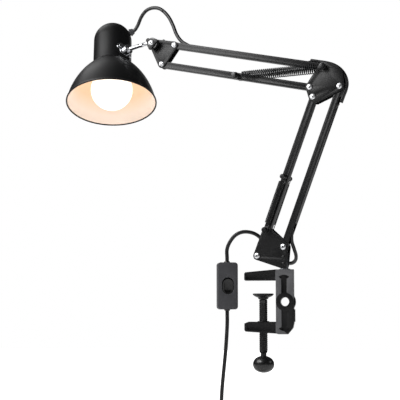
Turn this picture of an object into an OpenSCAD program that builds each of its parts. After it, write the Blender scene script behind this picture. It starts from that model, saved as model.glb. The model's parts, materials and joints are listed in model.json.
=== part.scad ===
// Swing-arm architect lamp held by a desk clamp.
// Millimetres, +Z up. The origin is where the clamp sits on the desk: the underside of the
// upper jaw, on the screw's axis. The jaws reach towards -X and the post stands at +X.

/* [Clamp] */
// Distance from the screw's axis to the post's axis
post_x = 32; // [30:0.5:38]
// Opening between the jaws
jaw_gap = 60; // [50:1:70]
// Width of the jaws and the column, across the arm
clamp_depth = 20; // [19:0.5:24]
// Width of the column, along the jaws
column_w = 26; // [24:0.5:30]
// Reach of the jaws past the column
jaw_reach = 46; // [40:1:50]
// Height of the upper jaw where it meets the column
upper_jaw_h = 16; // [14:0.5:20]
// Height of the lower jaw where it meets the column
lower_jaw_h = 18; // [16:0.5:22]
// Height of both jaws at their tips
jaw_tip_h = 12; // [9:0.5:13]
// Diameter of the post
post_d = 12.7; // [10:0.1:13]
// Running clearance of the post in its sockets, all round
socket_clear = 0.08; // [0.03:0.01:0.1]
// Outside diameter of the side socket's boss
side_boss_d = 26; // [22:0.5:28]
// Diameter of the clamping screw
screw_d = 12; // [10:0.5:13]
// Length of the screw below its pad
screw_len = 84; // [80:1:95]
// Diameter of the pressure pad
pad_d = 31; // [26:0.5:34]
// Height of the pressure pad
pad_h = 8; // [7:0.5:10]
// How far the pad stands below the upper jaw as photographed
pad_drop = 19; // [10:1:22]
// Diameter of the screw's knob
knob_d = 31; // [26:0.5:34]
// Height of the screw's knob
knob_h = 22.5; // [18:0.5:25]

/* [Arms] */
// Width of the square bars
bar_w = 10; // [9:0.5:10]
// Wall of the square bars
bar_wall = 0.9; // [0.7:0.1:1.2]
// Length of the lower arm, pivot to pivot
lower_len = 248; // [230:1:280]
// Lean of the lower arm from the level
lower_angle = 69; // [60:1:80]
// Length of the forearm, pivot to pivot
fore_len = 250; // [230:1:280]
// Rise of the forearm towards the head
fore_angle = 13.3; // [5:0.1:20]
// Turn of the arms on the post, seen from above
swing = -16.5; // [-30:0.5:0]
// Height of the front pivot above the clamp
front_pivot_h = 33; // [31:0.5:40]
// Level distance between the two pivots of the lower arm
lower_run = 41; // [38:0.5:46]
// Height of the front pivot over the rear one
lower_rise = 12.3; // [8:0.1:16]
// Level distance between the two pivots of the forearm
fore_run = 21.9; // [18:0.1:24]
// Height between the two pivots of the forearm
fore_drop = 28.3; // [26:0.1:32]
// Level distance from the elbow's front pivot to its top pivot
elbow_run = 23.8; // [20:0.1:28]
// Height of the elbow's top pivot over its front pivot
elbow_rise = 30.9; // [28:0.1:34]
// Level distance from the head's top pivot to the tilt pivot
tilt_run = 34.2; // [32:0.1:38]
// Height of the tilt pivot over the head's top pivot
tilt_rise = 4.3; // [2:0.1:6]

/* [Plates and fasteners] */
// Thickness of the side plates
plate_t = 1.25; // [1:0.05:1.6]
// Gap between a bar and a side plate
plate_gap = 0.25; // [0.2:0.05:0.4]
// Diameter of the pivot screws
pivot_d = 4; // [3:0.5:4]
// Running clearance of a bar on its screw, all round
pivot_clear = 0.05; // [0.02:0.01:0.1]
// Clearance of the plates' and open pivots' holes, all round
free_clear = 0.15; // [0.1:0.05:0.3]
// Diameter of a screw's head
head_d = 8.6; // [7:0.1:9]
// Height of a screw's head
head_h = 2.2; // [1.8:0.1:3]
// Width of a nut across its flats
nut_af = 7; // [6:0.1:8]
// Height of a nut
nut_h = 3.2; // [2.4:0.1:4]

/* [Springs] */
// Distance of the springs from the middle plane
spring_y = 12.3; // [12:0.1:14]
// Length of the spring pins
spring_pin_len = 36; // [34:1:40]
// Diameter of the spring wire
wire_d = 1.5; // [1.2:0.1:1.6]
// Outside diameter of the forearm's springs
fore_coil_d = 10; // [8:0.5:10]
// Curls of one forearm spring
fore_curls = 19; // [16:1:20]
// Outside diameter of the lower arm's springs
lower_coil_d = 8.4; // [8:0.1:9]
// Curls of one lower spring
lower_curls = 13; // [12:1:14]
// Place of the forearm's spring pin, from the elbow along the lower bar
fore_pin_at = 120; // [110:1:130]
// Place of the lower arm's spring pin, from the base along the rear bar
lower_pin_at = 123; // [115:1:130]
// Level distance from the rear pivot to the fixed spring stub
stub_run = 14.8; // [12:0.1:16]
// Height of the fixed spring stub over the rear pivot
stub_rise = 37.6; // [35:0.1:42]
// Diameter of the spring pins
spring_pin_d = 5; // [4:0.5:5]

/* [Head] */
// Diameter of the rod between the arm and the shade
rod_d = 6; // [5:0.5:6]
// Rise of the rod from the shade to the arm
rod_angle = 10.5; // [5:0.5:15]
// Distance from the tilt pivot to the ball, along the rod
rod_reach = 46; // [42:1:60]
// Diameter of the tilt knuckle
knuckle_d = 18; // [16:0.5:20]
// Length of the tilt knuckle
knuckle_len = 9.5; // [8:0.5:12]
// Diameter of the ball
ball_d = 10; // [9:0.5:10]
// Radius of the shade's rim
rim_r = 70.5; // [66:0.5:78]
// Radius of the shade's neck
neck_r = 30.5; // [30:0.5:33]
// Height of the bell
bell_h = 68; // [62:1:74]
// Radius of the bell's curve
bell_arc_r = 125; // [90:1:160]
// Height of the dome's centre over the rim
dome_at = 115; // [112:1:120]
// Wall of the shade
shade_wall = 0.9; // [0.7:0.1:1.2]
// Diameter of the bead round the rim
rim_bead_d = 2.4; // [2:0.1:3]
// Height of the ball over the rim
ball_at = 82; // [80:1:84]
// Distance of the ball from the shade's axis
ball_out = 36.5; // [36:0.5:38]
// Diameter of the bracket's flange round the socket
cup_d = 21; // [20:0.5:24]
// Diameter of the bulb
bulb_d = 66; // [58:1:68]
// Height of the bulb's widest place over the rim
bulb_at = 23.5; // [20:0.5:30]

/* [Cord] */
// Diameter of the cord
cord_d = 5.6; // [5:0.1:6]
// Width of the flat sleeve round the elbow
sleeve_w = 8; // [6:0.1:9]
// Thickness of the flat sleeve round the elbow
sleeve_t = 4.6; // [4:0.1:5]
// Length of the switch
switch_len = 70; // [66:1:72]
// Width of the switch
switch_w = 30; // [26:1:32]
// Thickness of the switch
switch_t = 17; // [16:1:20]
// Length of the switch's rocker
rocker_len = 23; // [20:1:26]
// Width of the switch's rocker
rocker_w = 16; // [14:0.5:18]
// Radius of the put-away coil, at the middle of its turns
coil_r = 33.5; // [33:0.5:36]
// Turns of the put-away coil
coil_turns = 6; // [6:1:6]

/* [Hidden] */

$fn = 48;
sliver = 0.01;

// Places in the arm's own frame: x along the arm plane, y away from the front, z up from the
// clamp's top, with the post's axis at x = y = 0.
clamp_top = upper_jaw_h;
base_front = [0, front_pivot_h];
base_rear = base_front - [lower_run, lower_rise];
lower_dir = [cos(lower_angle), sin(lower_angle)];
elbow_front = base_front + lower_len * lower_dir;
elbow_rear = base_rear + lower_len * lower_dir;
elbow_top = elbow_front + [-elbow_run, elbow_rise];
elbow_low = elbow_top - [fore_run, fore_drop];
fore_dir = [-cos(fore_angle), sin(fore_angle)];
head_top = elbow_top + fore_len * fore_dir;
head_low = elbow_low + fore_len * fore_dir;
tilt_at = head_top + [-tilt_run, tilt_rise];
stub_at = base_rear + [stub_run, stub_rise];
lower_pin = base_rear + lower_pin_at * lower_dir;
fore_pin = elbow_low + fore_pin_at * fore_dir;
plate_in = bar_w / 2 + plate_gap;
plate_out = plate_in + plate_t;
run_gap = 0.2;

// The foot of the base plates, where the post is riveted between them
foot_low = [-1, 6.5];
foot_r = 5.4;
tang_side = 3.9;
post_shoulder = 1;
post_depth = 36;
rivet_heights = [8, 18];
rivet_d = 4;

// The clamp's casting
column_low = -jaw_gap - lower_jaw_h;
post_bore_d = post_d + 2 * socket_clear;
side_bore_z = -31;
boss_proud = 1.5;
ring_proud = 1;
back_boss_proud = 2.4;
back_boss_y = 3;
screw_lip_d = 17;
screw_lip_h = 1;
flute_depth = 3;
flute_w = 8;
screw_bore_d = screw_d + 2 * socket_clear;
neck_d = 8.6;
neck_h = 7;
pad_top = -pad_drop;
pad_clear = 0.3;
ball_seat_r = 4;

// The shade's own frame: its axis is +Z from the rim's centre to the dome, and the ball lies
// towards +X. The three turns take it to the photographed aim.
shade_turn = [-14, -14.5, -18];
ball_xz = tilt_at + [0, 4] - rod_reach * [cos(rod_angle), sin(rod_angle)];
knuckle_y = -(plate_out + run_gap + knuckle_len / 2);
ball_place = [ball_xz[0], knuckle_y, ball_xz[1]];

module in_arm() {
    translate([post_x, 0, clamp_top]) rotate([0, 0, swing]) children();
}

// A pivot's place: x and z from the list, its axis across the arm
module at_pivot(p) {
    translate([p[0], 0, p[1]]) rotate([90, 0, 0]) children();
}

function about_x(v, a) = [v[0], cos(a) * v[1] - sin(a) * v[2], sin(a) * v[1] + cos(a) * v[2]];
function about_y(v, a) = [cos(a) * v[0] + sin(a) * v[2], v[1], cos(a) * v[2] - sin(a) * v[0]];
function about_z(v, a) = [cos(a) * v[0] - sin(a) * v[1], sin(a) * v[0] + cos(a) * v[1], v[2]];
function shade_to_arm(p) = ball_place + about_z(about_y(about_x(
    p - [ball_out, 0, ball_at], shade_turn[0]), shade_turn[1]), shade_turn[2]);

module in_shade() {
    in_arm() translate(ball_place) rotate(shade_turn)
        translate([-ball_out, 0, -ball_at]) children();
}

// A convex plate with round lobes, in two dimensions, anticlockwise
function tangent_normal(a, b, ra, rb) =
    let (v = b - a, d = norm(v), e = v / d, s = (ra - rb) / d)
    s * e + sqrt(1 - s * s) * [e[1], -e[0]];

tuck = 0.01;

module lobed(places, radii) {
    n = len(places);
    polygon([for (i = [0:n - 1])
        let (j = (i + 1) % n, a = radii[i] - tuck, b = radii[j] - tuck,
            out = tangent_normal(places[i], places[j], a, b))
        each [places[i] + a * out, places[j] + b * out]]);
    for (i = [0:n - 1]) translate(places[i]) circle(r = radii[i]);
}

// A side plate: its outline stood up in the arm plane, with its inner face at y
module side_plate(near) {
    y = near ? -plate_in : plate_out;
    translate([0, y, 0]) rotate([90, 0, 0]) linear_extrude(plate_t) children();
}

module holes(places, d) {
    for (p = places) translate(p) circle(d = d);
}

plate_hole_d = pivot_d + 2 * free_clear;

// A domed screw head with a cross recess, standing on z = 0
module pan_head(turn) {
    difference() {
        intersection() {
            cylinder(d = head_d, h = head_h);
            translate([0, 0, head_h - head_d]) sphere(r = head_d);
        }
        for (t = [0, 90]) rotate([0, 0, turn + t]) translate([0, 0, head_h])
            cube([head_d * 0.5, 1.1, 2.4], center = true);
    }
}

// A pan-head screw across the arm with its head on the near plate
module pivot_screw(p) {
    shank = 2 * plate_out + nut_h;
    at_pivot(p) {
        translate([0, 0, -plate_out - nut_h]) cylinder(d = pivot_d, h = shank + 0.5);
        translate([0, 0, plate_out]) pan_head(20);
    }
}

module pivot_nut(p) {
    at_pivot(p) translate([0, 0, -plate_out - nut_h]) difference() {
        intersection() {
            cylinder(d = nut_af / cos(30), h = nut_h, $fn = 6);
            translate([0, 0, nut_af * 0.55]) sphere(d = nut_af * 1.42);
        }
        translate([0, 0, -1]) cylinder(d = pivot_d, h = nut_h + 2);
    }
}

// A square tube with round ends. It runs along +X from its first pivot, with its outer wall
// towards -Z or +Z, and has a slot for the cord near each end of that wall.
module bar(length, first_d, last_d, slots, outer) {
    difference() {
        rotate([90, 0, 0]) linear_extrude(bar_w, center = true) union() {
            translate([0, -bar_w / 2]) square([length, bar_w]);
            circle(d = bar_w);
            translate([length, 0]) circle(d = bar_w);
        }
        translate([-bar_w, -bar_w / 2 + bar_wall, -bar_w / 2 + bar_wall])
            cube([length + 2 * bar_w, bar_w - 2 * bar_wall, bar_w - 2 * bar_wall]);
        rotate([90, 0, 0]) cylinder(d = first_d, h = bar_w + 2, center = true);
        translate([length, 0, 0]) rotate([90, 0, 0])
            cylinder(d = last_d, h = bar_w + 2, center = true);
        for (s = slots) translate([s[0], -bar_w / 2 + bar_wall, outer > 0 ? 0 : -bar_w])
            cube([s[1] - s[0], bar_w - 2 * bar_wall, bar_w]);
    }
}

running_d = pivot_d + 2 * pivot_clear;
open_d = pivot_d + 2 * free_clear;

module along_lower(from) {
    in_arm() translate([from[0], 0, from[1]]) rotate([0, -lower_angle, 0]) children();
}

module along_fore(from) {
    in_arm() translate([from[0], 0, from[1]]) rotate([0, fore_angle, 0]) children();
}

// Cord slots, as start and end along the bar from its first pivot
lower_slots = [[7.5, 38], [lower_len - 34.5, lower_len - 14]];
fore_slots = [[9, 30], [fore_len - 34.5, fore_len - 14]];

function unit(v) = v / norm(v);
function along(p, i) = unit(p[min(i + 1, len(p) - 1)] - p[max(i - 1, 0)]);
function square_to(v, t) = unit(v - (v * t) * t);

// The side direction of each ring, carried along the path without twisting
function sides_of(p, start) =
    [for (i = 0, s = square_to(start, along(p, 0)); i < len(p);
        i = i + 1, s = i < len(p) ? square_to(s, along(p, i)) : s) s];

// A tube swept along part of a route, from one of its rings to another. Its section is w wide
// along the side direction and t thick, so tubes that share a ring meet face to face.
module tube(path, w, sides, start = [0.13, 0.31, 0.94], from = 0, to = -1, t = 0) {
    last = to < 0 ? len(path) - 1 : to;
    side = sides_of(path, start);
    thick = t == 0 ? w : t;
    corners = [for (i = [from:last]) let (s = side[i], u = cross(along(path, i), s))
        for (k = [0:sides - 1])
            path[i] + w / 2 * cos(360 * k / sides) * s + thick / 2 * sin(360 * k / sides) * u];
    walls = [for (i = [0:last - from - 1]) for (k = [0:sides - 1])
        let (a = i * sides + k, b = i * sides + (k + 1) % sides)
        each [[a, a + sides, b], [b, a + sides, b + sides]]];
    end = (last - from) * sides;
    ends = [for (k = [1:sides - 2]) each [[0, k, k + 1], [end, end + k + 1, end + k]]];
    polyhedron(corners, concat(walls, ends), convexity = 10);
}

// The least distance between parts of a path that are further apart along it than a turn
function least_gap(p, skip, d) =
    min([for (i = [0:len(p) - 1]) for (j = [i + skip:1:len(p) - 1]) norm(p[i] - p[j])]) - d;

// A spring's wire, hook to hook: its axis is +X between the two pins, whose axes are along Y
curl_rings = 8;
hook_rings = 7;
hook_r = spring_pin_d / 2 + wire_d / 2 + 0.2;
hook_open = 290;
function spring_path(length, coil_d, curls, body_from, body_to) =
    let (r = (coil_d - wire_d) / 2, n = curls * curl_rings, hook_n = hook_rings)
    concat(
        [for (i = [0:hook_n]) let (t = -90 - hook_open * (1 - i / hook_n))
            [hook_r * cos(t), 0, hook_r * sin(t)]],
        [for (i = [0:n]) let (s = i / n, ramp = min(1, min(i, n - i) / curl_rings),
                now = hook_r + (r - hook_r) * ramp, t = -90 + 360 * i / curl_rings)
            [body_from + (body_to - body_from) * s, now * cos(t), now * sin(t)]],
        [for (i = [0:hook_n]) let (t = -90 + hook_open * i / hook_n)
            [length + hook_r * cos(t), 0, hook_r * sin(t)]]);

lower_spring_len = norm(lower_pin - stub_at);
fore_spring_len = norm(elbow_top - fore_pin);
lower_body = [12.5, lower_spring_len - 8.5];
fore_body = [11, fore_spring_len - 13];

module spring(from, to, y, coil_d, curls, body) {
    v = to - from;
    path = spring_path(norm(v), coil_d, curls, body[0], body[1]);
    echo(least_gap_mm = least_gap(path, 6, wire_d));
    in_arm() translate([from[0], y, from[1]]) rotate([0, -atan2(v[1], v[0]), 0])
        tube(path, wire_d, 6, [0, 1, 0]);
}

// CLAMP

// The casting's outline, seen from the front
module clamp_outline() {
    left = post_x - column_w / 2;
    right = post_x + column_w / 2;
    tip = left - jaw_reach;
    foot_chamfer = 9;
    polygon([[tip, 1], [tip + 1, 0], [left, 0], [left, -jaw_gap], [tip + 6, -jaw_gap],
        [tip, -jaw_gap - 2.5], [tip, -jaw_gap - jaw_tip_h + 2], [tip + 2, -jaw_gap - jaw_tip_h],
        [left, column_low + 1], [left + 4, column_low], [right - foot_chamfer, column_low],
        [right - 1.5, column_low + foot_chamfer], [right, column_low + foot_chamfer + 7],
        [right, clamp_top], [left, clamp_top], [tip + 1.5, jaw_tip_h], [tip, jaw_tip_h - 2]]);
}

// The sunk panels of the jaws' sides, which leave a flange round their edges
module jaw_panels() {
    left = post_x - column_w / 2;
    tip = left - jaw_reach;
    polygon([[tip + 3, 1.6], [left - 0.5, 1.6], [left - 0.5, upper_jaw_h - 3.6],
        [tip + 3, jaw_tip_h - 3]]);
    polygon([[tip + 4, -jaw_gap - 3.6], [left - 0.5, -jaw_gap - 3.6],
        [left - 0.5, column_low + 3], [tip + 4, -jaw_gap - jaw_tip_h + 2.4]]);
}

// A sunk flute down the column's side, with a wide lens at its top and bottom
module flutes() {
    lens_r = 11;
    lens_half = 3.2;
    top = clamp_top - 11;
    low = column_low + 8;
    translate([post_x - flute_w / 2 - 1, low]) square([flute_w, top - low]);
    for (z = [top, low]) translate([post_x - 1, z]) intersection() {
        translate([0, lens_r - lens_half]) circle(r = lens_r);
        translate([0, lens_half - lens_r]) circle(r = lens_r);
    }
}

module clamp_body() {
    half = clamp_depth / 2;
    color("#26272a") difference() {
        union() {
            difference() {
                rotate([90, 0, 0]) linear_extrude(clamp_depth, center = true) clamp_outline();
                for (side = [-1, 1]) translate([0, side * half, 0]) rotate([90, 0, 0]) {
                    linear_extrude(2 * flute_depth, center = true) flutes();
                    linear_extrude(2 * flute_depth - 2, center = true) jaw_panels();
                }
            }
            translate([post_x, half, side_bore_z]) rotate([90, 0, 0])
                cylinder(d = side_boss_d, h = clamp_depth + ring_proud);
            translate([post_x, -back_boss_y, side_bore_z]) intersection() {
                rotate([-90, 0, 0]) cylinder(d = side_boss_d + 2 * back_boss_proud,
                    h = half + back_boss_y);
                translate([0, 0, -side_boss_d]) cube([side_boss_d, half + back_boss_y,
                    2 * side_boss_d]);
            }
            translate([0, 0, -jaw_gap - 1]) cylinder(d = screw_lip_d, h = 1 + screw_lip_h);
            translate([post_x - column_w / 2, -half, side_bore_z - side_boss_d / 2 + 3])
                cube([column_w / 2, clamp_depth, side_boss_d - 6]);
            translate([post_x + column_w / 2 - 2, -half + 4, side_bore_z - 29])
                cube([2 + boss_proud, clamp_depth - 8, 18]);
        }
        translate([post_x, 0, clamp_top - post_depth - 1])
            cylinder(d = post_bore_d, h = post_depth + 2);
        translate([post_x, 0, side_bore_z]) rotate([90, 0, 0])
            cylinder(d = post_bore_d, h = clamp_depth + 4 * ring_proud, center = true);
        translate([0, 0, -jaw_gap - lower_jaw_h - 5])
            cylinder(d = screw_bore_d, h = lower_jaw_h + 10);
    }
}

// A dished cup whose rim bears on the underside of the desk
module pressure_pad() {
    color("#1b1b1d") translate([0, 0, pad_top]) rotate_extrude($fn = 64) polygon([
        [0, -2.2], [pad_d / 2 - 4, -1.4], [pad_d / 2 - 1.2, 0], [pad_d / 2, -0.6],
        [pad_d / 2, -1.4], [pad_d / 2 - 2, -3.2], [pad_d / 2 - 5, -4.9],
        [screw_d / 2 + 2, -5.8], [screw_d / 2 + 1.2, -6.6], [screw_d / 2 + 1.2, -pad_h],
        [ball_seat_r + 0.3, -pad_h], [ball_seat_r + 0.3, -4.2], [0, -4.2]]);
}

// The screw's stem, with a turned thread relief and a spigot that turns in the pad
module clamp_screw() {
    stem_top = pad_top - pad_h - 0.3;
    color("#2a2b2d") {
        translate([0, 0, stem_top - screw_len + neck_h]) cylinder(d = screw_d, h = screw_len - neck_h);
        translate([0, 0, stem_top - screw_len]) cylinder(d = neck_d, h = neck_h + sliver);
        translate([0, 0, stem_top - sliver]) cylinder(r = ball_seat_r, h = pad_h - 4.2);
    }
}

// An oblate ball on the neck, with a shallow ring where the hand holds it
module screw_knob() {
    top = pad_top - pad_h - 0.3 - screw_len;
    half = knob_h / 2;
    steps = 14;
    color("#1d1d1f") translate([0, 0, top - half]) rotate_extrude($fn = 64) polygon(concat(
        [for (i = [0:steps]) let (t = 90 - 180 * i / steps)
            [knob_d / 2 * pow(abs(cos(t)), 0.9) * (i == 0 || i == steps ? 0 : 1),
                half * sin(t)]]));
}

// BASE BRACKET

// The post, turned down to a tang between the base plates
module post() {
    shoulder_r = post_d / 2 + 1.6;
    color("#8d8f92") in_arm() difference() {
        union() {
            translate([0, 0, -post_depth]) cylinder(d = post_d, h = post_depth + post_shoulder);
            translate([0, 0, 0.05]) cylinder(r = shoulder_r, h = post_shoulder);
            intersection() {
                translate([0, 0, post_shoulder]) cylinder(d = post_d, h = 23);
                translate([-post_d, -plate_in, 0]) cube([post_d + tang_side, 2 * plate_in, 25]);
            }
        }
        for (z = rivet_heights) at_pivot([0, z]) cylinder(d = rivet_d, h = 30, center = true);
    }
}

module base_outline() {
    difference() {
        lobed([base_rear, foot_low, base_front, stub_at], [6.2, foot_r, 7.2, 6]);
        holes([base_rear, base_front], plate_hole_d);
        holes([for (z = rivet_heights) [0, z]], rivet_d);
    }
}

// One base plate with the stub that its spring hooks on
module base_plate(near) {
    side = near ? -1 : 1;
    stub_len = spring_pin_len / 2 - plate_out;
    color("#1c1c1e") in_arm() {
        side_plate(near) base_outline();
        translate([stub_at[0], side * plate_out, stub_at[1]]) rotate([side * -90, 0, 0])
            stub(stub_len);
    }
}

// A round stub with a groove for the hook at the spring's place
module stub(length) {
    groove = spring_y - plate_out;
    rotate_extrude() polygon([[0, -sliver], [spring_pin_d / 2 + 1.2, -sliver],
        [spring_pin_d / 2 + 1.2, groove - wire_d], [spring_pin_d / 2, groove - wire_d * 0.8],
        [spring_pin_d / 2, groove + wire_d * 0.8], [spring_pin_d / 2 + 1.2, groove + wire_d],
        [spring_pin_d / 2 + 1.2, length - 0.6], [spring_pin_d / 2 + 0.6, length], [0, length]]);
}

module base_plate_near() { base_plate(true); }
module base_plate_far() { base_plate(false); }

module base_screws() {
    color("#d9dadc") in_arm() for (p = [base_rear, base_front]) pivot_screw(p);
}

module base_nuts() {
    color("#c9cacc") in_arm() for (p = [base_rear, base_front]) pivot_nut(p);
}

module base_rivets() {
    color("#1c1c1e") in_arm() for (z = rivet_heights) at_pivot([0, z]) {
        cylinder(d = rivet_d, h = 2 * plate_out + 1, center = true);
        for (side = [-1, 1]) intersection() {
            translate([0, 0, side * (plate_out + 0.5)])
                cylinder(d = rivet_d + 2.6, h = 1, center = true);
            translate([0, 0, side * (plate_out + 1 - 5)]) sphere(r = 5);
        }
    }
}

// LOWER ARM

module lower_rear_bar() {
    color("#232426") along_lower(base_rear)
        difference() {
            bar(lower_len, running_d, open_d, [], -1);
            translate([lower_pin_at, 0, 0]) rotate([90, 0, 0])
                cylinder(d = spring_pin_d, h = bar_w + 2, center = true);
        }
}

module lower_front_bar() {
    color("#232426") along_lower(base_front)
        bar(lower_len, running_d, running_d, lower_slots, -1);
}

// A pin through a bar with grooves for two hooks
module spring_pin(p, collar_d, bar_hole) {
    groove = spring_y - bar_w / 2;
    end = spring_pin_len / 2 - bar_w / 2;
    r = spring_pin_d / 2;
    in_arm() at_pivot(p) {
        cylinder(r = r, h = bar_w, center = true);
        for (side = [0, 180]) rotate([side, 0, 0]) translate([0, 0, bar_w / 2])
            rotate_extrude() polygon([[0, -sliver], [r, -sliver], [r, 0], [collar_d / 2, 0],
                [collar_d / 2, groove - wire_d * 1.5], [r, groove - wire_d * 1.2],
                [r, groove + wire_d * 0.8], [r + 1.2, groove + wire_d],
                [r + 1.2, end - 0.6], [r + 0.6, end], [0, end]]);
    }
}

module lower_spring_pin() {
    color("#2c2d30") spring_pin(lower_pin, 2 * spring_pin_d - 2, true);
}

module lower_spring_near() {
    color("#2b2c2f") spring(stub_at, lower_pin, -spring_y, lower_coil_d, lower_curls, lower_body);
}

module lower_spring_far() {
    color("#2b2c2f") spring(stub_at, lower_pin, spring_y, lower_coil_d, lower_curls, lower_body);
}

// ELBOW

elbow_corner = elbow_rear + [3.3, -4.3];
elbow_crown = elbow_front + [-3, 19.5];

module elbow_outline() {
    difference() {
        lobed([elbow_rear, elbow_corner, elbow_front, elbow_crown, elbow_top, elbow_low],
            [6.6, 5.6, 7, 8, 8, 6.5]);
        holes([elbow_rear, elbow_front, elbow_low], plate_hole_d);
        translate(elbow_top) circle(d = spring_pin_d);
    }
}

module elbow_plate_near() {
    color("#2a2b2d") in_arm() side_plate(true) elbow_outline();
}

module elbow_plate_far() {
    color("#2a2b2d") in_arm() side_plate(false) elbow_outline();
}

module elbow_screws() {
    color("#d9dadc") in_arm() for (p = [elbow_rear, elbow_front, elbow_low]) pivot_screw(p);
}

module elbow_nuts() {
    color("#c9cacc") in_arm() for (p = [elbow_rear, elbow_front, elbow_low]) pivot_nut(p);
}

// The top pivot's pin runs through both plates and carries the forearm's springs
module elbow_spring_pin() {
    r = spring_pin_d / 2;
    groove = spring_y - plate_out;
    end = spring_pin_len / 2 - plate_out;
    color("#2c2d30") in_arm() at_pivot(elbow_top) {
        cylinder(r = r, h = 2 * plate_out, center = true);
        for (side = [0, 180]) rotate([side, 0, 0]) translate([0, 0, plate_out])
            rotate_extrude() polygon([[0, -sliver], [r, -sliver], [r, 0], [r + 1.8, 0],
                [r + 1.8, groove - wire_d * 1.5], [r, groove - wire_d * 1.2],
                [r, groove + wire_d * 0.8], [r + 1.2, groove + wire_d],
                [r + 1.2, end - 0.6], [r + 0.6, end], [0, end]]);
    }
}

// FOREARM

module forearm_top_bar() {
    color("#303134") along_fore(head_top)
        bar(fore_len, running_d, spring_pin_d + 2 * pivot_clear, fore_slots, 1);
}

module forearm_bottom_bar() {
    color("#303134") along_fore(head_low)
        difference() {
            bar(fore_len, open_d, running_d, [], -1);
            translate([fore_len - fore_pin_at, 0, 0]) rotate([90, 0, 0])
                cylinder(d = spring_pin_d, h = bar_w + 2, center = true);
        }
}

module forearm_spring_pin() {
    color("#17171a") spring_pin(fore_pin, bar_w, true);
}

module forearm_spring_near() {
    color("#b9babd") spring(fore_pin, elbow_top, -spring_y, fore_coil_d, fore_curls, fore_body);
}

module forearm_spring_far() {
    color("#b9babd") spring(fore_pin, elbow_top, spring_y, fore_coil_d, fore_curls, fore_body);
}

// HEAD BRACKET

tilt_d = 5;

module head_outline() {
    difference() {
        lobed([tilt_at, head_low, head_top], [8.5, 6, 5.8]);
        holes([head_low, head_top], plate_hole_d);
        translate(tilt_at) circle(d = tilt_d + 2 * pivot_clear);
    }
}

module head_plate_near() {
    color("#3a3b3e") in_arm() side_plate(true) head_outline();
}

module head_plate_far() {
    color("#3a3b3e") in_arm() side_plate(false) head_outline();
}

module head_screws() {
    color("#d9dadc") in_arm() for (p = [head_low, head_top]) pivot_screw(p);
}

module head_nuts() {
    color("#c9cacc") in_arm() for (p = [head_low, head_top]) pivot_nut(p);
}

washer_t = 2.4;
knuckle_near = plate_out + run_gap + knuckle_len;

// The knuckle turns on the tilt screw and holds the rod's end
module tilt_knuckle() {
    color("#161618") in_arm() difference() {
        at_pivot(tilt_at) translate([0, 0, plate_out + run_gap])
            cylinder(d = knuckle_d, h = knuckle_len);
        at_pivot(tilt_at) cylinder(d = tilt_d + 2 * pivot_clear, h = 60, center = true);
        translate(ball_place) rotate([0, 90 - rod_angle, 0])
            cylinder(d = rod_d, h = rod_reach - knuckle_d * 0.22);
    }
}

// A three-lobed pressed washer under the screw's head
module tilt_washer() {
    lobe_out = 7.6;
    lobe_r = 3.4;
    turns = [140, 258, 20];
    color("#3a3b3e") in_arm() at_pivot(tilt_at)
        translate([0, 0, knuckle_near + run_gap]) difference() {
        linear_extrude(washer_t) union() {
            circle(r = 6.6);
            for (t = turns) lobed([[0, 0], lobe_out * [cos(t), sin(t)]], [5.2, lobe_r]);
        }
        translate([0, 0, -1]) cylinder(d = tilt_d + 2 * free_clear, h = washer_t + 2);
    }
}

module tilt_screw() {
    near = knuckle_near + run_gap + washer_t;
    tail = 16;
    color("#d9dadc") in_arm() at_pivot(tilt_at) {
        translate([0, 0, -tail]) cylinder(d = tilt_d, h = tail + near + 0.5);
        translate([0, 0, near]) pan_head(35);
    }
}

// A wing nut on the far side, which sets how stiffly the head tilts
module tilt_wing_nut() {
    wing_turn = 115;
    hub_h = 6;
    wing = [[0, 4], [10, 9]];
    wing_r = [2.8, 4];
    color("#e2e3e5") in_arm() at_pivot(tilt_at) 
        translate([0, 0, -plate_out - run_gap]) mirror([0, 0, 1])
        difference() {
            union() {
                cylinder(d1 = 9.5, d2 = 7.5, h = hub_h);
                rotate([0, 0, -wing_turn]) rotate([90, 0, 0])
                    linear_extrude(2, center = true) lobed(wing, wing_r);
                rotate([0, 0, 180 - wing_turn]) rotate([90, 0, 0])
                    linear_extrude(2, center = true) lobed(wing, wing_r);
            }
            translate([0, 0, -1]) cylinder(d = tilt_d + 2 * pivot_clear, h = hub_h + 12);
        }
}

// A plated rod with a ball at the shade's end and a turned ring near the knuckle
module ball_rod() {
    color("#e6e7e9") in_arm() translate(ball_place) {
        sphere(d = ball_d);
        rotate([0, 90 - rod_angle, 0]) {
            cylinder(d = rod_d, h = rod_reach - knuckle_d * 0.22);
            translate([0, 0, 24]) cylinder(d = rod_d + 1.6, h = 3);
        }
    }
}

// SHADE

// Outline of the shade's outer surface, from the rim to the top of the dome
bell_top = [neck_r + 1.2, bell_h];
bell_chord = bell_top - [rim_r, 0];
bell_mid = [rim_r, 0] + bell_chord / 2;
bell_half = norm(bell_chord) / 2;
bell_centre = bell_mid + sqrt(bell_arc_r * bell_arc_r - bell_half * bell_half)
    * [-bell_chord[1], bell_chord[0]] / norm(bell_chord);
bell_from = atan2(-bell_centre[1], rim_r - bell_centre[0]);
bell_to = atan2(bell_top[1] - bell_centre[1], bell_top[0] - bell_centre[0]);
bell_steps = 16;
dome_steps = 14;
bell_outer = [for (i = [0:bell_steps]) let (t = bell_from + (bell_to - bell_from) * i / bell_steps)
    bell_centre + bell_arc_r * [cos(t), sin(t)]];
neck_outer = concat(
    [bell_top, [neck_r + 0.4, bell_h + 1], [neck_r, bell_h + 2.5]],
    [for (i = [0:dome_steps]) let (t = 90 * i / dome_steps)
        [neck_r * cos(t) * (i == dome_steps ? 0 : 1), dome_at + neck_r * sin(t)]]);

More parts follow.
